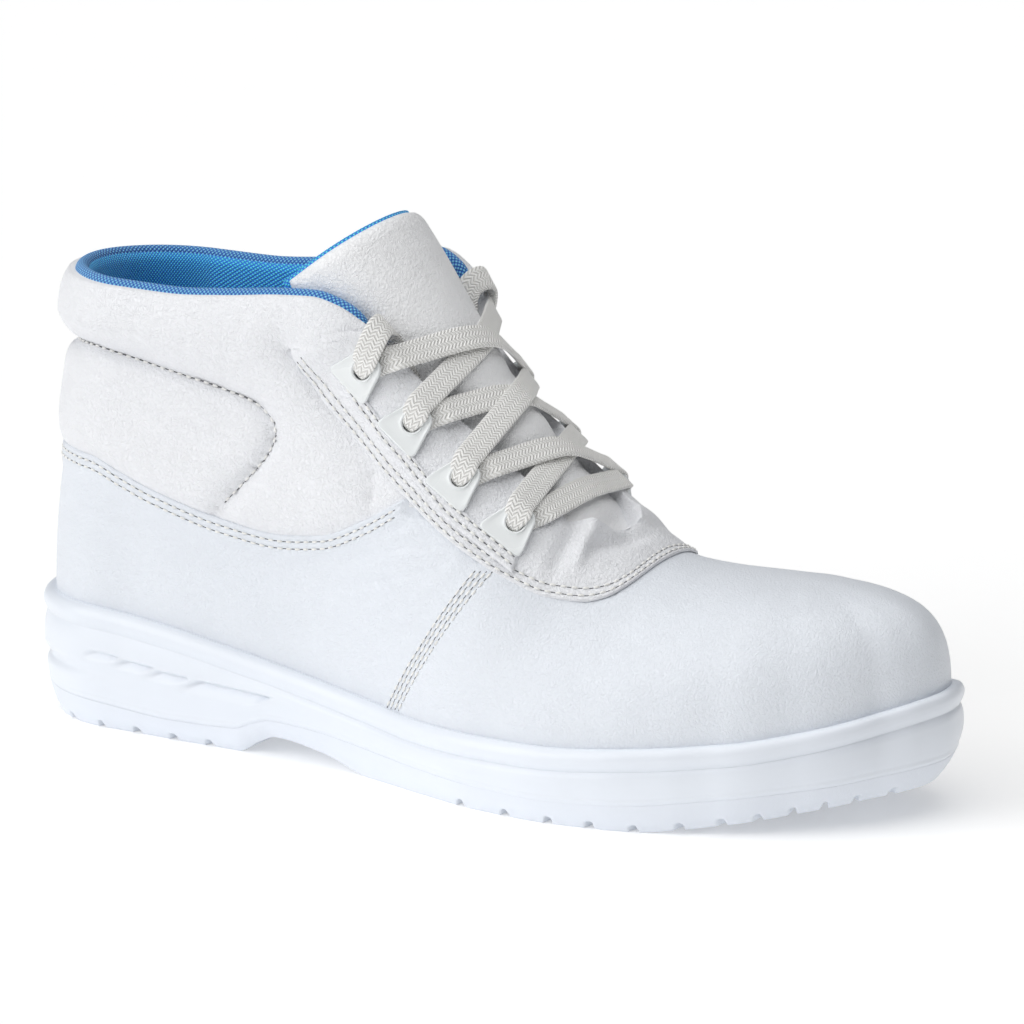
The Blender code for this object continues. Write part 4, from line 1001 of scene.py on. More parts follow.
def make_collar():
    """The padded collar with its two rolls and the stitched groove between them."""
    extra, low_rows = COLLAR_GRID[1:3]
    sides = [collar_side(side, *COLLAR_GRID) for side in (-1, 1)]
    around, rise, out = (np.concatenate([a[::-1], b[1:]]) for a, b in zip(*sides))
    cells = np.ones((around.shape[0] - 1, around.shape[1] - 1), bool)
    cells[:extra, :low_rows] = False
    cells[-extra:, :low_rows] = False
    outer = offset_surface(around, rise, out)
    inner = offset_surface(around, rise, np.minimum(out - 0.8, 0.2))
    made = add_patch("collar_padding", outer, inner, "soft", ("collar",), keep=cells,
                     sharp=True)


# Rolled edge: half width, height, turn past the half circle, middle, root under the edge, and tapered ends
RIM_HALF = 2.2
RIM_HEIGHT = 2.5
RIM_PAST = 0.35
RIM_MIDDLE = (0.4, -0.6)
RIM_ROOT = 1.5
RIM_TAPER = 7


def make_collar_rim():
    """The rolled knit edge along the top of the collar."""
    ends = [body(throat_lip(side) - 2.2 * COLLAR_SHORT) for side in (-1, 1)]
    around = np.linspace(-ends[0], ends[1], RIM_GRID[0])
    full = np.ones(around.shape)
    edge = upper_surface(around, full)
    out = upper_normal(around, full)
    up = unit(np.cross(np.gradient(edge, axis=0), out))
    length = run_length(edge)
    taper = dome(np.minimum(length, length[-1] - length) + 0.4, RIM_TAPER)
    turns = np.linspace(-RIM_PAST, math.pi + RIM_PAST, RIM_GRID[1])
    rows = []
    for turn in turns:
        side_step = RIM_MIDDLE[0] + RIM_HALF * math.cos(turn)
        rise = RIM_MIDDLE[1] + RIM_HEIGHT * math.sin(turn)
        rows.append(edge + out * (side_step * taper)[:, None] + up * (rise * taper)[:, None])
    points = np.stack(rows, axis=1)
    cloth = np.stack(np.broadcast_arrays(length[:, None], turns * RIM_HALF), axis=-1)
    inner = np.broadcast_to(edge[:, None] - up[:, None] * RIM_ROOT, points.shape)
    add_patch("collar_rim", points, inner, "rim", ("collar_binding",), cloth=cloth)


# Lining: how it stays below the throat's edge, its back, and the foam that puffs it out under the collar
LINING_TOP = 0.97
LINING_DROP = 0.4
LINING_FALL = (152, 184)
LINING_BACK = 1.3
LINING_PUFF = 1.6
PUFF_LEVELS = (70, 110)
PUFF_ROUND = 14
PUFF_END = (110, 128)
CLOTH_SHRINK = 0.75


def make_lining():
    """The mesh lining inside the boot, from the collar down to the footbed."""
    around = ring(LINING_GRID[0])
    along = body_x(np.abs(around))
    throat = (along > throat_lip(-1) - 6) & (along < THROAT_BOTTOM + 2)
    top = np.where(throat, LINING_TOP - LINING_DROP * blend(along, *LINING_FALL), 1.0)
    rise = top[:, None] * np.linspace(0, 1, LINING_GRID[1])
    rise = np.concatenate([np.full((len(around), 1), -0.6), rise], axis=1)
    grid = np.broadcast_to(around[:, None], rise.shape)
    height = upper_surface(grid, rise)[..., 2]
    puff = LINING_PUFF * blend(height, *PUFF_LEVELS) * dome(edge_top(grid) - height, PUFF_ROUND)
    puff = puff * (1 - blend(along, *PUFF_END))[:, None]
    inner = offset_surface(grid, rise, -WALL - puff)
    outer = offset_surface(grid, rise, np.full(rise.shape, -LINING_BACK))
    run = run_length(inner)
    cloth = np.stack([np.broadcast_to((around * CLOTH_SHRINK)[:, None], run.shape), run], axis=-1)
    add_patch("mesh_lining", inner, outer, "mesh", ring=True, cloth=cloth)


# Rings of the footbed from its underside over the edge to its top: share of its reach and lift
FOOTBED_RINGS = [
    (0, 0), (0.5, 0), (0.97, 0), (1, 0.8), (1, 2.6), (0.98, 3.6), (0.94, 3.9), (0.86, 3.6), (0.7, 3.4),
    (0.5, 3.3), (0.25, 3.3), (0, 3.3),
]


def make_footbed():
    """The cloth-covered footbed."""
    around = ring(FOOTBED_COLUMNS)
    reach = sole_reach(around) - RIM_WIDTH - WALL - 1.2
    base = SOLE_SIDE["feather"]
    points = np.stack([place(around, reach * share, lambda x: base(x) - CUP_DEPTH + 0.3 + lift)
                       for share, lift in FOOTBED_RINGS], axis=1)
    add_loft("footbed", points, "mesh", ("insole",), points[..., :2].reshape(-1, 2))


def facing_lines(side, run):
    """Places and heights of the eyestay's outer seam and of its free edge."""
    outer_x = FACING_BACK + (FACING_FRONT - FACING_BACK) * (1 - (1 - run) ** 1.7)
    lip = throat_lip(side)
    inner_x = lip + (THROAT_BOTTOM - lip) * (1 - (1 - run) ** 1.6)
    outer_z = FACING_FRONT_EDGE["height"](outer_x)
    inner_z = np.minimum(edge_top(side * body(inner_x)), facing_top(inner_x))
    return outer_x, outer_z, inner_x, inner_z


def facing_width(side, run):
    """Distance across the eyestay at each place along it."""
    outer_x, outer_z, inner_x, inner_z = facing_lines(side, run)
    outer = upper_surface(side * body(outer_x), rise_at(side * body(outer_x), outer_z))
    inner = upper_surface(side * body(inner_x), rise_at(side * body(inner_x), inner_z))
    return np.maximum(np.linalg.norm(outer - inner, axis=-1), 1.0)


ALL_BUT_ONE = 0.9999


def facing_place(side, run, share):
    """Place and rise on the eyestay: run goes along it to the front, share from its seam to the free edge."""
    outer_x, outer_z, inner_x, inner_z = facing_lines(side, run)
    around = side * body(outer_x + (inner_x - outer_x) * share)
    low = rise_at(side * body(outer_x), outer_z)
    high = rise_at(side * body(inner_x), inner_z)
    rise = np.where(share > ALL_BUT_ONE, 1.0, low + (high - low) * share)
    rise = np.where(run > 0, rise, rise_at(around, outer_z + (inner_z - outer_z) * share))
    return around, np.where(run > ALL_BUT_ONE, 1.0, rise)


# Waves of the free edge round the bottom of the throat: rise of the edge at each place along it
LIP_WAVE = {
    -1: table(("x", "rise"), [
        (178, 0), (184, -1.2), (187.5, -3.0), (190, -1.2), (192.5, 1.2), (194.2, 0.8), (196.4, -0.8),
        (THROAT_BOTTOM, 0.2),
    ]),
    1: table(("x", "rise"), [
        (176, 0), (184, -0.4), (189, -0.8), (192, 0.2), (195, 2.0), (196.6, 1.8), (THROAT_BOTTOM, 0.2),
    ]),
}

# Folds below the throat, in plan: a line from its deep end, width and depth; a ridge has a depth below zero
FOLDS = [
    ([(193.3, -11.5), (193.9, -17.6), (194.4, -22.0), (195.4, -28.0)], 1.9, -1.7),
    ([(190.4, -16.5), (190.8, -23.0), (190.6, -28.0), (191.0, -36.0)], 2.3, 1.3),
    ([(195.2, -18.5), (197.4, -13.5), (199.1, -10.1), (201.6, -2.4), (203.0, 6.0), (202.0, 14.0)], 2.2, 1.5),
    ([(194.0, 15.0), (195.0, 19.0), (195.6, 23.5), (196.0, 29.0)], 3.0, -1.0),
]

# Way in which the free edge rises, how far the waves reach, and how deep the edge is turned in
LIP_WAY = np.array([0.3, 0.0, 0.95])
LIP_REACH = 12.0
LIP_TURN = 2.3
LIP_TURN_MEDIAL = 4.0
LIP_TURN_RUN = (0.62, 0.75)
LIP_TURN_FADE = (0.2, 2.5)
FACING_BASE = 0.25

# Eyestay between its seams: fading of the collar's foam, of the thin edge, and the roll beside the stitches
SWELL_FADE = (0, 13)
THIN_FADE = (2, 13)
THIN_LEVELS = (2, 14)
SEAM_ROLL = 0.35
ROLL_AT = 8
ROLL_WIDTH = 4
ROLL_START = (0.02, 0.1)

# Puckers between the tabs: height, shift up the throat, width, and how they fade from the free edge
PUCKER = 1.1
PUCKER_BACK = 3
PUCKER_WIDE = 4.5
PUCKER_FADE = (3, 15)


def facing_out(side, run, share, width):
    """Offset of the eyestay's leather with its stitched lines, puckers between the tabs and folds."""
    around, rise = facing_place(side, run, share)
    along = body_x(np.abs(around))
    height = upper_surface(around, rise)[..., 2]
    from_seam = share * width
    from_free = (1 - share) * width
    level = facing_top(along)
    swell = padding(side, along, np.minimum(np.maximum(height, level), edge_top(around)), edge_top(around))
    out = FACING_OUT + swell * (1 - blend(level - height, *SWELL_FADE))
    out = out - FACING_THIN * (1 - blend(from_seam, *THIN_FADE)) * blend(level - height, *THIN_LEVELS)
    for row in FACING_ROWS:
        out = out - STITCH_SINK * bell(from_seam - row, STITCH_WIDE)
    out = out + SEAM_ROLL * bell(from_seam - ROLL_AT, ROLL_WIDTH) * blend(run, *ROLL_START)
    inner_x = facing_lines(side, run)[2]
    wave = np.zeros(run.shape)
    for first, second in zip(EYELET_X[:-1], EYELET_X[1:]):
        middle = (first + second) / 2 - PUCKER_BACK
        wave = wave + bell(inner_x - middle, PUCKER_WIDE)
    out = out + PUCKER * wave * (1 - blend(from_free, *PUCKER_FADE))
    plan = upper_surface(around, rise)
    out = out - soft_lines(FOLDS, plan[..., 0], plan[..., 1], 0.0)
    return around, rise, out


def lip_shift(side, run, share, width):
    """Waves of the leather at the bottom of the throat."""
    inner_x = facing_lines(side, run)[2]
    fade = (1 - blend((1 - share) * width, 0, LIP_REACH)) ** 1.3
    return (LIP_WAVE[side]["rise"](inner_x) * fade)[..., None] * LIP_WAY


def facing_side(side, columns, shares):
    """Grids of the outer and inner face of the eyestay on one side."""
    run, share = np.meshgrid(np.linspace(0, 1, columns), shares, indexing="ij")
    width = np.broadcast_to(facing_width(side, run[:, 0])[:, None], run.shape)
    around, rise, out = facing_out(side, run, share, width)
    from_seam, from_free = share * width, (1 - share) * width
    turned = LIP_TURN + LIP_TURN_MEDIAL * (side > 0) * blend(run, *LIP_TURN_RUN)
    low = FACING_BASE - turned * (1 - blend(from_free, *LIP_TURN_FADE)) * blend(run, 0.0, 0.03)
    thin = np.minimum(dome(from_seam + 0.05, 0.8), dome(from_free + 0.1, 1.1))
    thick = out - FACING_BASE
    shift = lip_shift(side, run, share, width)
    outer = offset_surface(around, rise, FACING_BASE + thick * thin) + shift
    return outer, offset_surface(around, rise, np.minimum(low, out - 0.6)) + shift


def make_facing():
    """The eyestay of soft leather round the throat, joined in front of it."""
    near = np.linspace(0, 0.3, 25) ** 1.25 / 0.3 ** 0.25
    shares = np.concatenate([near, np.linspace(0.3, 0.9, 24)[1:], np.linspace(0.9, 1, 13)[1:]])
    lateral, medial = (facing_side(side, FACING_COLUMNS, shares) for side in (-1, 1))
    outer, inner = (np.concatenate([a, b[-2::-1]]) for a, b in zip(lateral, medial))
    add_patch("eyestay", outer, inner, "soft", ("facing",), sharp=True)


def eyelet_frame(index, side, lift):
    """Centre of a lace hole with the directions along the throat, towards it and outward."""
    around = side * body(EYELET_X[index])
    rise = rise_below_edge(around, EYELET_DROP[index])
    centre = offset_surface(np.array([around]), np.array([rise]), np.array([lift]))[0]
    normal = upper_normal(np.array([around]), np.array([rise]))[0]
    ahead = side * body(EYELET_X[index] + 4)
    ahead_rise = rise_below_edge(ahead, EYELET_DROP[index])
    down = unit(upper_surface(np.array([ahead]), np.array([ahead_rise]))[0] - centre)
    down = unit(down - normal * np.dot(down, normal))
    return centre, down, unit(np.cross(down, normal)) * side, normal


# Corners of a tab: along the throat, towards it, and corner radius
TAB_CORNERS = [(-8.0, -7.4, 1.4), (8.0, -7.4, 2.2), (4.0, 5.8, 4.4), (-4.4, 5.8, 4.2)]
TAB_HOLE = 2.7
TAB_ROUND = 0.55
TAB_HOLLOW = 0.25


def tab_outline(count):
    """Round-cornered outline of a tab."""
    corners = np.array([corner[:2] for corner in TAB_CORNERS])
    points = []
    for k, (*_, radius) in enumerate(TAB_CORNERS):
        before = unit(corners[k - 1] - corners[k])
        after = unit(corners[(k + 1) % len(corners)] - corners[k])
        cut = radius / math.tan(math.acos(np.dot(before, after)) / 2)
        for share in np.linspace(0, 1, 9):
            start, end = corners[k] + before * cut, corners[k] + after * cut
            points.append((1 - share) ** 2 * start + 2 * share * (1 - share) * corners[k] + share ** 2 * end)
    points = np.array(points + points[:1])
    run = run_length(points)
    return points_at(np.linspace(0, run[-1], count, endpoint=False), run, points)


def tab_profile():
    """Rings of a tab from its lower edge over the top and through the hole: share inward, inset and level."""
    rows = [(0, 0.25, 0.0), (0, 0.0, 0.25), (0, 0.0, TAB_THICKNESS - TAB_ROUND)]
    for turn in np.linspace(0, math.pi / 2, 5)[1:]:
        rows.append((0, TAB_ROUND * (1 - math.cos(turn)), TAB_THICKNESS - TAB_ROUND * (1 - math.sin(turn))))
    rows += [(share, 0, TAB_THICKNESS - TAB_HOLLOW * math.sin(math.pi * share))
             for share in (0.25, 0.45, 0.65, 0.8)]
    for turn in np.linspace(0, math.pi, 7):
        rows.append((1, -0.7 * (1 + math.cos(turn)) / 2, TAB_THICKNESS + 0.25 * math.sin(turn)
                     - 0.5 * (1 - math.cos(turn)) / 2))
    return rows + [(1, 0, 0.4), (1, -0.3, 0.0)]


def make_tabs():
    """Eight moulded tabs with a raised ring round each lace hole."""
    outline = tab_outline(84)
    ways = unit(outline)
    hole = ways * TAB_HOLE
    for side, side_name in SIDES:
        for index in range(len(EYELET_X)):
            centre, down, inward, normal = eyelet_frame(index, side, TAB_LIFT)
            rows = []
            for share, inset, level in tab_profile():
                spot = outline + (hole - outline) * share
                spot = spot - ways * inset
                lift = level + TAB_TILT * (spot[:, 1] + 6) - 0.8 * (1 - blend(spot[:, 1], -8, -3))
                rows.append(centre + spot[:, :1] * down + spot[:, 1:] * inward + lift[:, None] * normal)
            rows.append(rows[0])
            name = f"eyelet_{side_name}_{index + 1}"
            add_loft(f"tab_{side_name}_{index + 1}", np.stack(rows, axis=1), "tab", (name,))


STRIP_FROM = 6.5
STRIP_TO = 12.0
STRIP_TOP = 117.5
STRIP_TOP_DROP = 8.6
STRIP_PAST = 4.0


def strip_drop(x):
    """Distance of the line of lace holes below the throat edge; above the top hole it comes nearer."""
    return np.interp(x, (STRIP_TOP, *EYELET_X), (STRIP_TOP_DROP, *EYELET_DROP))


def strip_place(side, x, below):
    """Place and rise on a strip: x along the throat and a distance below the lace holes."""
    around = side * body(x)
    rise = np.array([rise_below_edge(a, strip_drop(at) + d) for a, at, d in zip(around, x, below)])
    return around, rise


STRIP_THICK = 1.0
STRIP_ROUND = 0.9


def make_strips():
    """The folded strips that hold the tabs."""
    stations = np.linspace(STRIP_TOP, EYELET_X[-1] + STRIP_PAST, 90)
    across = np.linspace(0, 1, 17)
    width = STRIP_TO - STRIP_FROM
    for side, side_name in SIDES:
        grids = [strip_place(side, stations, np.full(len(stations), STRIP_FROM + share * width))
                 for share in across]
        around = np.stack([grid[0] for grid in grids], axis=1)
        rise = np.stack([grid[1] for grid in grids], axis=1)
        edge = np.minimum(across, 1 - across) * width
        end = np.minimum(stations - stations[0], stations[-1] - stations)
        thick = STRIP_THICK * dome(edge + 0.05, STRIP_ROUND)[None, :] * dome(end + 0.05, STRIP_ROUND)[:, None]
        for row in STRIP_ROWS:
            thick = thick - STITCH_SINK * bell(across * width - row, STITCH_NARROW)[None, :]
        outer = offset_surface(around, rise, FACING_OUT + 0.05 + thick)
        inner = offset_surface(around, rise, np.full(around.shape, FACING_OUT - 0.4))
        add_patch(f"strip_{side_name}", outer, inner, "soft", (f"eyelet_strip_{side_name}",))


def tongue_point(step, share, inward):
    """A point of the tongue: step along it, share across it from -1 to 1, and depth below its face."""
    step, share = np.broadcast_arrays(np.asarray(step, float), np.asarray(share, float))
    x, z = TONGUE_ROWS["x"](step), TONGUE_ROWS["height"](step)
    ahead = np.stack([TONGUE_ROWS["x"](step + 0.1) - TONGUE_ROWS["x"](step - 0.1),
                      TONGUE_ROWS["height"](step + 0.1) - TONGUE_ROWS["height"](step - 0.1)], axis=-1)
    ahead = unit(ahead)
    out_x, out_z = -ahead[..., 1], ahead[..., 0]
    radius = TONGUE_ROWS["radius"](step)
    spread = np.radians(TONGUE_ROWS["spread"](step))
    wing = TONGUE_ROWS["wing"](step)
    reach = np.abs(share) * (spread * radius + wing)
    turn = np.minimum(reach / radius, spread)
    past = reach - turn * radius
    fall = radius * (1 - np.cos(turn)) + inward * np.cos(turn) + past * np.sin(spread)
    across = (radius - inward) * np.sin(turn) + past * np.cos(spread)
    return np.stack([x - out_x * fall, TONGUE_CENTRE + np.sign(share) * across, z - out_z * fall], axis=-1)


# Way in which the lining shows past the tongue's top, its extra width, and the height of the tongue's waves
LINING_SHOW = np.array([-0.6, 0.0, 0.8])
LINING_WIDE = 1.05
CRUMPLE = 0.35
CRUMPLE_STEPS = (2, 4)

# Padding of the tongue: shares of its thickness in front and behind, and how its rim rounds off
TONGUE_FRONT = 0.55
TONGUE_BACK = 0.4
TONGUE_ROUND_SIDE = 0.16
TONGUE_ROUND_TOP = 0.35


def make_tongue():
    """The padded tongue: soft leather in front, in a lighter copy that paints light on it, and mesh behind,
    which shows as a thin line at its edge.
    """
    shares = np.sin(np.linspace(-1, 1, TONGUE_GRID[1]) * math.pi / 2)
    step, share = np.meshgrid(np.linspace(0, TONGUE_STEPS, TONGUE_GRID[0]), shares, indexing="ij")
    rim = np.minimum(dome(1 - np.abs(share), TONGUE_ROUND_SIDE), dome(step, TONGUE_ROUND_TOP))
    thick = TONGUE_ROWS["thickness"](step)
    middle = TONGUE_FRONT * thick
    front = middle - TONGUE_FRONT * thick * rim
    crumple = CRUMPLE * np.sin(step * 9 + 2 * share) * bell(share, 0.6) * blend(step, *CRUMPLE_STEPS)
    front = front + crumple * rim
    back = middle + TONGUE_BACK * thick * rim
    face = tongue_point(step, share, front)
    core = tongue_point(step, share, middle + 0.3)
    # The face's lighter copy of the soft leather is painted light
    made = add_patch("tongue_leather_painted_light", face, core, "tongue", ("tongue",))
    step, share, middle, back = (grid[::2, ::2] for grid in (step, share, middle, back))
    wide = share * LINING_WIDE
    cloth = np.stack([share * 40, step * 16], axis=-1)
    show = LINING_SHOW * (1 - blend(step, 0, 0.4))[..., None]
    add_patch("tongue_lining", tongue_point(step, wide, back + 0.6) + show,
              tongue_point(step, wide, middle + 0.25) + show, "mesh", cloth=cloth)


def tongue_clearance(points):
    """Distance of points above the tongue's face."""
    steps = np.linspace(0, TONGUE_STEPS, 161)
    crown = tongue_point(steps, 0, 0)
    ahead = unit(np.gradient(crown, axis=0))
    out = np.stack([-ahead[:, 2], 0 * steps, ahead[:, 0]], axis=-1)
    radius = TONGUE_ROWS["radius"](steps)
    level = np.abs(np.einsum("psk,sk->ps", points[:, None] - crown, ahead))
    nearest = np.argmin(level, axis=1)
    axis = (crown - out * radius[:, None])[nearest]
    high = np.sum((points - axis) * out[nearest], axis=1)
    return np.hypot(high, points[:, 1] - TONGUE_CENTRE) - radius[nearest]


# Lace ends beside a tab: shift towards the throat, shift down along it, and height above the upper
UNDER_TAB = (9.5, 3.6, FACING_OUT + 1.2)
OVER_TAB = (5.0, -2.2, TAB_LIFT + TAB_THICKNESS + 2.2)
LACE_OVER = 1.6
LACE_ON_TOP = (1, -1, 1)
LACE_CLEARANCE = 1.0
LACE_POINTS = 41
LACE_HEIGHTS = np.arange(0, 40, 0.25)
LACE_STEP = 0.45
LACE_SMOOTHING = 18
LIFT_SMOOTHING = 8
LACE_TURNS = 29

# A lace in a hole: its width and extra thickness there, and the stretches over which they come and go
HOLE_WIDTH = 4.8
HOLE_FILL = 3.0
HOLE_NEAR = (0.5, 4.5)
FILL_NEAR = (1.2, 3.4)


def tab_spot(index, side, shift_in, shift_down, lift):
    """A place near a tab, with the tab's directions."""
    centre, down, inward, normal = eyelet_frame(index, side, lift)
    return centre + inward * shift_in + down * shift_down, down, inward, normal


def upper_hull(x, y):
    """The lowest line over some heights that bends only downward, like a taut string."""
    kept = []
    for i in range(len(x)):
        while len(kept) > 1:
            a, b = kept[-2:]
            if (y[b] - y[a]) * (x[i] - x[a]) > (y[i] - y[a]) * (x[b] - x[a]):
                break
            kept.pop()
        kept.append(i)
    return np.interp(x, x[kept], y[kept])


def lace_crossing(start, end, over):
    """Path of a taut run: straight from each tab and bent over the tongue where that stands higher."""
    share = np.linspace(0, 1, LACE_POINTS)
    line = start[0] + share[:, None] * (end[0] - start[0])
    out = unit((start[3] + end[3]) * (1, 0, 1))
    tried = line[:, None] + LACE_HEIGHTS[:, None] * out
    blocked = tongue_clearance(tried.reshape(-1, 3)).reshape(tried.shape[:2]) < LACE_CLEARANCE
    lift = upper_hull(share, np.where(blocked, LACE_HEIGHTS, 0).max(axis=1))
    soften(lift, LIFT_SMOOTHING)
    return line + out * (lift + over * (4 * share * (1 - share)) ** 2)[:, None]


def lace_grid(path, first, last, narrow):
    """Rings of a flat braided band along a path, squeezed where it goes through a hole."""
    length = np.linalg.norm(np.diff(path, axis=0), axis=1).sum()
    path = curve_through(path, max(int(length / LACE_STEP), 12))
    soften(path, LACE_SMOOTHING)
    run = run_length(path)
    way = unit(np.gradient(path, axis=0))
    share = blend(run / run[-1], 0.1, 0.9)[:, None]
    across = (1 - share) * first + share * last
    across = unit(across - way * np.sum(across * way, axis=1, keepdims=True))
    up = np.cross(across, way)
    free = np.ones(len(run))
    if narrow[0]:
        free = free * blend(run, *HOLE_NEAR)
    if narrow[1]:
        free = free * blend(run[-1] - run, *HOLE_NEAR)
    half = (HOLE_WIDTH + (LACE_WIDTH - HOLE_WIDTH) * free) / 2
    from_hole = np.minimum(run if narrow[0] else 99, run[-1] - run if narrow[1] else 99)
    thick = LACE_THICKNESS + HOLE_FILL * (1 - blend(from_hole, *FILL_NEAR))
    turn = np.linspace(0, 2 * math.pi, LACE_TURNS)
    wide = np.sign(np.cos(turn)) * np.abs(np.cos(turn)) ** 0.4
    high = np.sign(np.sin(turn)) * np.abs(np.sin(turn)) ** 0.6
    lift = high * thick[:, None] / 2
    band = path[:, None] + across[:, None] * (wide * half[:, None])[..., None] + up[:, None] * lift[..., None]
    cloth = np.stack(np.broadcast_arrays(wide * LACE_WIDTH / 2, run[:, None]), axis=-1)
    return band, cloth, path


def add_band(name, bands, nodes):
    """One or two closed bands as one piece."""
    points, cloths, faces, start = [], [], [], 0
    for band, cloth, _ in bands:
        columns, rows = band.shape[:2]
        caps = np.stack([band[0].mean(axis=0), band[-1].mean(axis=0)])
        ends = np.broadcast_to(caps[:, None], (2, rows, 3))
        points.append(np.concatenate([ends[:1], band, ends[1:]]).reshape(-1, 3))
        cloths.append(np.concatenate([cloth[:1], cloth, cloth[-1:]]).reshape(-1, 2))
        faces.append(grid_quads(columns + 2, rows) + start)
        start += len(points[-1])
    points, faces, cloths = (np.concatenate(parts) for parts in (points, faces, cloths))
    return add_piece(name, points, faces, "lace", nodes, cloths)


def through_hole(index, side, upward):
    """Points of a lace that comes up through a tab's hole, from under it."""
    spots = [(-0.1, 0.0, TAB_LIFT + 0.2), (0.2, 0.0, TAB_LIFT + TAB_THICKNESS - 0.3),
             (1.9, -0.8, TAB_LIFT + TAB_THICKNESS + 1.6)]
    if not upward:
        spots = [(5.5, 1.6, FACING_OUT + 0.75), (1.4, 0.3, TAB_LIFT + 0.3), (0.2, 0.0, TAB_LIFT + 1.6)]
    return [tab_spot(index, side, *spot)[0] for spot in spots]


def lace_run(first, first_side, second, over):
    """A run from over one tab to under another on the far side."""
    start = tab_spot(first, first_side, *OVER_TAB)
    end = tab_spot(second, -first_side, *UNDER_TAB)
    path = np.vstack([through_hole(first, first_side, True), lace_crossing(start, end, over),
                      through_hole(second, -first_side, False)])
    return lace_grid(path, start[1] * -first_side, end[1] * -first_side, (True, True))


def make_lace():
    """The bottom bar and three crossings; each run leaves over one tab and goes under the opposite one."""
    ends = [tab_spot(3, side, *UNDER_TAB) for side in (-1, 1)]
    path = np.vstack([through_hole(3, -1, False)[::-1], lace_crossing(*ends, 0), through_hole(3, 1, False)])
    add_band("lace_bar_band", [lace_grid(path, ends[0][1], ends[1][1], (True, True))], ("lace_bar",))
    for i, top_side in enumerate(LACE_ON_TOP):
        runs = [lace_run(i + 1, -top_side, i, 0), lace_run(i + 1, top_side, i, LACE_OVER)]
        add_band(f"lace_crossing_band_{i + 1}", runs, (f"lace_crossing_{i + 1}",))


# Lace ends above the top tabs: shift towards the throat, shift down along it, and height above the upper
LACE_END = [
    (-0.1, 0.0, TAB_LIFT + 0.2), (0.3, -0.1, TAB_LIFT + TAB_THICKNESS),
    (2.4, -1.1, TAB_LIFT + TAB_THICKNESS + 1.8), (6.0, -2.6, TAB_LIFT + TAB_THICKNESS + 2.3),
    (9.5, -4.1, TAB_LIFT + TAB_THICKNESS + 1.8), (12.2, -5.3, 5.0), (13.8, -5.9, 2.6), (14.0, -5.7, -0.6),
    (12.6, -4.6, -3.6), (10.0, -1.0, -5.0), (8.0, 4.0, -5.2), (6.0, 10.0, -5.0), (5.0, 17.0, -5.0),
]


def make_lace_ends():
    """The lace ends that leave the top tabs and tuck in over the throat edge."""
    for side, side_name in SIDES:
        spots = [tab_spot(0, side, *spot) for spot in LACE_END]
        route = np.array([spot[0] for spot in spots])
        across = spots[0][1] * -side
        band = lace_grid(route, across, across, (True, False))
        made = add_band(f"lace_tail_{side_name}", [band], (f"lace_end_{side_name}",))


THREAD_RADIUS = 0.36
THREAD_ARCH = 0.3
STRIP_SUNK = 0.15
GROOVE_LIFT = 0.25
STITCH_LENGTH = 2.1
HOLE_LENGTH = 0.6
HOLE_WIDE = 0.2
THREAD_TURNS = np.linspace(0, 2 * math.pi, 8)
HOLE_TURNS = np.linspace(0, 2 * math.pi, 9)
# Rings of a stitch hole, a shallow dent coloured dark as painted shade: share of its size, and level
HOLE_SHADE_RINGS = ((0, 0.1), (0.7, 0.08), (1.0, -0.25), (0, -0.4))
STITCHES = []
HOLE_SHADES = []


def sew(points, normals, lift=0.0):
    """A row of stitches along a line on the surface, with a dark dent at each end of a stitch that paints the
    shade of its hole.
    """
    run = run_length(points)
    count = max(int(run[-1] / STITCH_PITCH), 1)
    for k in range(count):
        middle = (k + 0.5) * run[-1] / count
        ends = points_at((middle - STITCH_LENGTH / 2, middle + STITCH_LENGTH / 2), run, points)
        up = unit(points_at(middle, run, normals))
        way = unit(ends[1] - ends[0])
        side = np.cross(up, way)
        centre = (ends[0] + ends[1]) / 2 + up * lift
        rings = []
        for share in np.linspace(-1, 1, 7):
            radius = THREAD_RADIUS * math.sqrt(1 - abs(share) ** 4)
            spot = centre + way * share * STITCH_LENGTH / 2 + up * THREAD_ARCH * (1 - share ** 2)
            rings.append([spot + radius * (math.cos(t) * side + math.sin(t) * up) for t in THREAD_TURNS])
        STITCHES.append(np.array(rings))
        for end, away in zip(ends, (-1, 1)):
            spot = end + way * away * 0.3 + up * (lift + 0.03)
            rim = [HOLE_WIDE * math.cos(t) * side + HOLE_LENGTH * math.sin(t) * way for t in HOLE_TURNS]
            rings = [[spot + size * step + up * level for step in rim] for size, level in HOLE_SHADE_RINGS]
            HOLE_SHADES.append(np.array(rings))


def add_bundle(name, grids, finish):
    """Many small rings-and-rows shapes joined in one mesh."""
    points = np.concatenate([grid.reshape(-1, 3) for grid in grids])
    columns, rows = grids[0].shape[:2]
    cell = grid_quads(columns, rows)
    faces = np.concatenate([cell + k * columns * rows for k in range(len(grids))])
    return add_piece(name, points, faces, finish)


def sew_on(around, rise, out, lift=0.0):
    """A row of stitches on the upper's face, moved outward."""
    sew(offset_surface(around, rise, out), upper_normal(around, rise), lift)


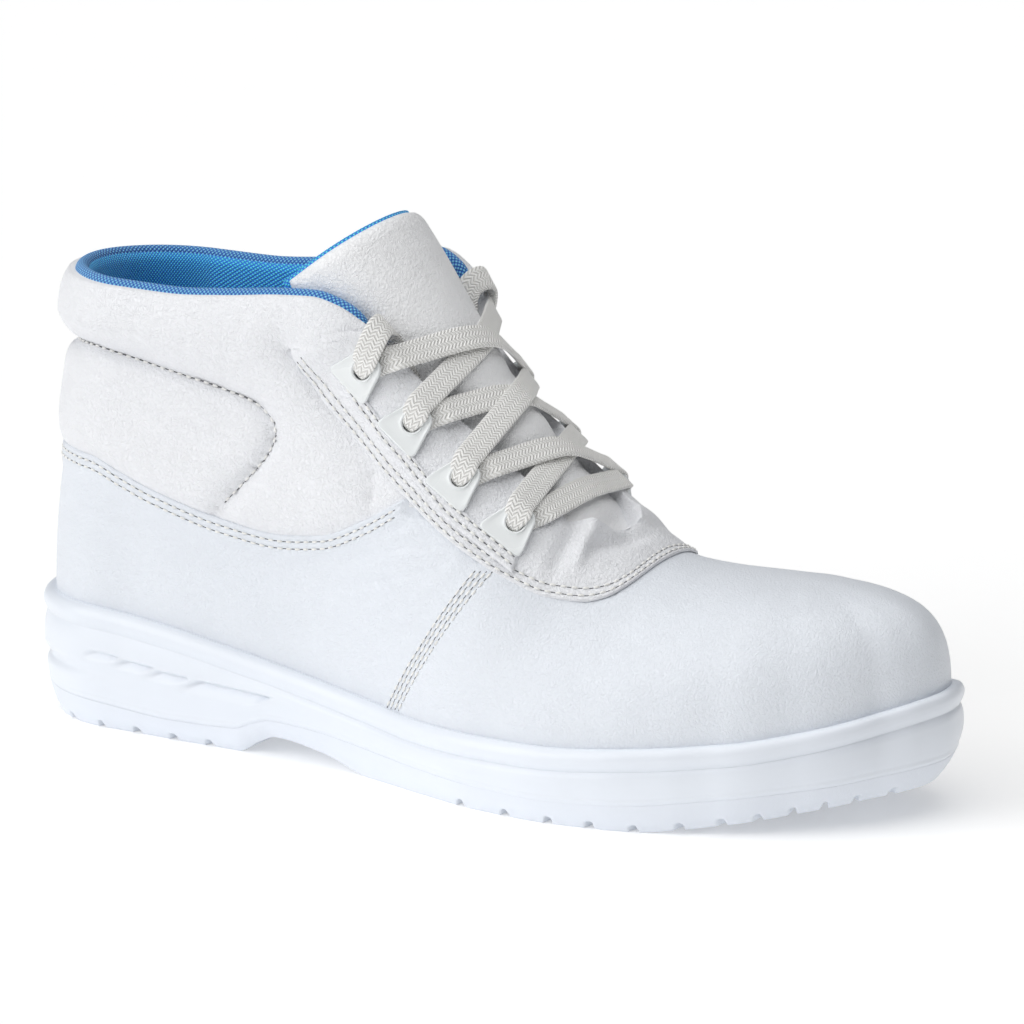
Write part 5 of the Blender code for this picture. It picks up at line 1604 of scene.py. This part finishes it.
def sew_seams():
    """All the stitched lines of the upper, on both sides."""
    for side in (-1, 1):
        quarter = np.linspace(HEEL_CENTRE - HEEL_ARC, FACING_SEAM_END - 3, 220)
        for row in QUARTER_ROWS:
            around = side * body(quarter)
            rise = rise_at(around, QUARTER_SEAM["height"](quarter) - row)
            out = shell_out(around, rise, np.full(around.shape, row))
            sew_on(around, rise, out)
        low = SOLE_SIDE["feather"](150.0) + 1
        height = np.linspace(low, 68.5, 80)
        for row in SIDE_ROWS:
            around = side * body(SIDE_SEAM["along"](height) + row / SIDE_SQUARE)
            rise = rise_at(around, height)
            out = shell_out(around, rise, np.full(around.shape, 20.0))
            sew_on(around, rise, out)
        run = np.linspace(0.015, 0.9985, 220)
        width = facing_width(side, run)
        for row in FACING_ROWS:
            around, rise, out = facing_out(side, run, row / width, width)
            sew_on(around, rise, out)
        stations = np.linspace(STRIP_TOP + 1, EYELET_X[-1] + STRIP_PAST - 1, 60)
        for row in STRIP_ROWS:
            around, rise = strip_place(side, stations, np.full(len(stations), STRIP_FROM + row))
            out = np.full(around.shape, FACING_OUT + STRIP_THICK)
            sew_on(around, rise, out, -STRIP_SUNK)
        groove = GROOVE_LINE[:-3]
        around = side * body(groove[:, 0])
        rise = rise_at(around, groove[:, 1])
        out = collar_out(side, groove[:, 0], groove[:, 1], edge_top(around))
        sew_on(around, rise, out, GROOVE_LIFT)
    add_bundle("stitches", STITCHES, "thread")
    # The dark finish on the stitch holes is painted shade inside them
    add_bundle("stitch_hole_shades", HOLE_SHADES, "hole")


# The photograph's view: azimuth and elevation in degrees, distance in metres, and the boot's point it aims at
VIEW_ANGLES = (29.5, 13.4)
VIEW_DISTANCE = 1.7
VIEW_TARGET = (156.1, 0, 80)
VIEW_END = 50
SENSOR_WIDTH = 36
LENS = 200.3
LENS_SHIFT = (0.0119, -0.0127)

# Lights: the direction towards each, its spread in degrees and its strength
LIGHTS = {
    "key": ((-0.6, -0.75, 0.36), 45, 1.05),
    "top": ((-0.14, -0.4, 1.0), 80, 1.75),
    "fill": ((0.2, 0.35, 0.9), 60, 0.62),
}
FLOOR_HALF = 6.0
FLOOR_GLOW = 0.23
SURROUND_COLOUR = (0.97, 0.985, 1, 1)
SURROUND_STRENGTH = 0.06


def make_camera():
    """The photograph's view of the boot."""
    azimuth, elevation = (math.radians(angle) for angle in VIEW_ANGLES)
    target = (Vector(VIEW_TARGET) - Vector(ORIGIN)) * MM
    back = Vector((math.sin(azimuth) * math.cos(elevation), -math.cos(azimuth) * math.cos(elevation),
                   math.sin(elevation)))
    camera = put("camera", bpy.data.cameras.new("camera"))
    camera.location = target + back * VIEW_DISTANCE
    camera.rotation_euler = back.to_track_quat("Z", "Y").to_euler()
    camera.data.sensor_width = SENSOR_WIDTH
    camera.data.lens = LENS
    camera.data.shift_x, camera.data.shift_y = LENS_SHIFT
    camera.data.clip_end = VIEW_END
    bpy.context.scene.camera = camera


def add_sun(name, towards, spread, strength):
    """A broad soft light from one direction."""
    lamp = bpy.data.lights.new(name, "SUN")
    lamp.angle = math.radians(spread)
    lamp.energy = strength
    made = put(name, lamp)
    made.rotation_euler = Vector(towards).to_track_quat("Z", "Y").to_euler()


def make_studio():
    """A plain white floor, a white surround and soft lights."""
    mesh = bpy.data.meshes.new("floor")
    corners = [(x * FLOOR_HALF, y * FLOOR_HALF, 0) for x, y in ((-1, -1), (1, -1), (1, 1), (-1, 1))]
    mesh.from_pydata(corners, [], [(0, 1, 2, 3)])
    made, tree, shader = start_finish("floor_paper", Roughness=0.9, Emission_Color=(1, 1, 1, 1),
                                      Emission_Strength=FLOOR_GLOW)
    spot = node(tree, "ShaderNodeTexCoord").outputs["Object"]
    vary_colour(tree, shader, spot, (0.92, 0.92, 0.92), (0.91, 0.91, 0.91), 3.0)
    mesh.materials.append(made)
    floor = put("floor", mesh)
    world = bpy.data.worlds.new("surround")
    world.use_nodes = True
    shade = world.node_tree.nodes["Background"].inputs
    shade["Color"].default_value = SURROUND_COLOUR
    shade["Strength"].default_value = SURROUND_STRENGTH
    bpy.context.scene.world = world
    for name, light in LIGHTS.items():
        add_sun(name, *light)
    bpy.context.scene.view_settings.view_transform = "Standard"


make_camera()
make_lace_ends()
make_studio()
make_sole_body()
make_tread()
make_shell()
make_lining()
make_collar()
make_collar_rim()
make_facing()
make_strips()
make_tabs()
make_tongue()
make_footbed()
make_lace()
sew_seams()
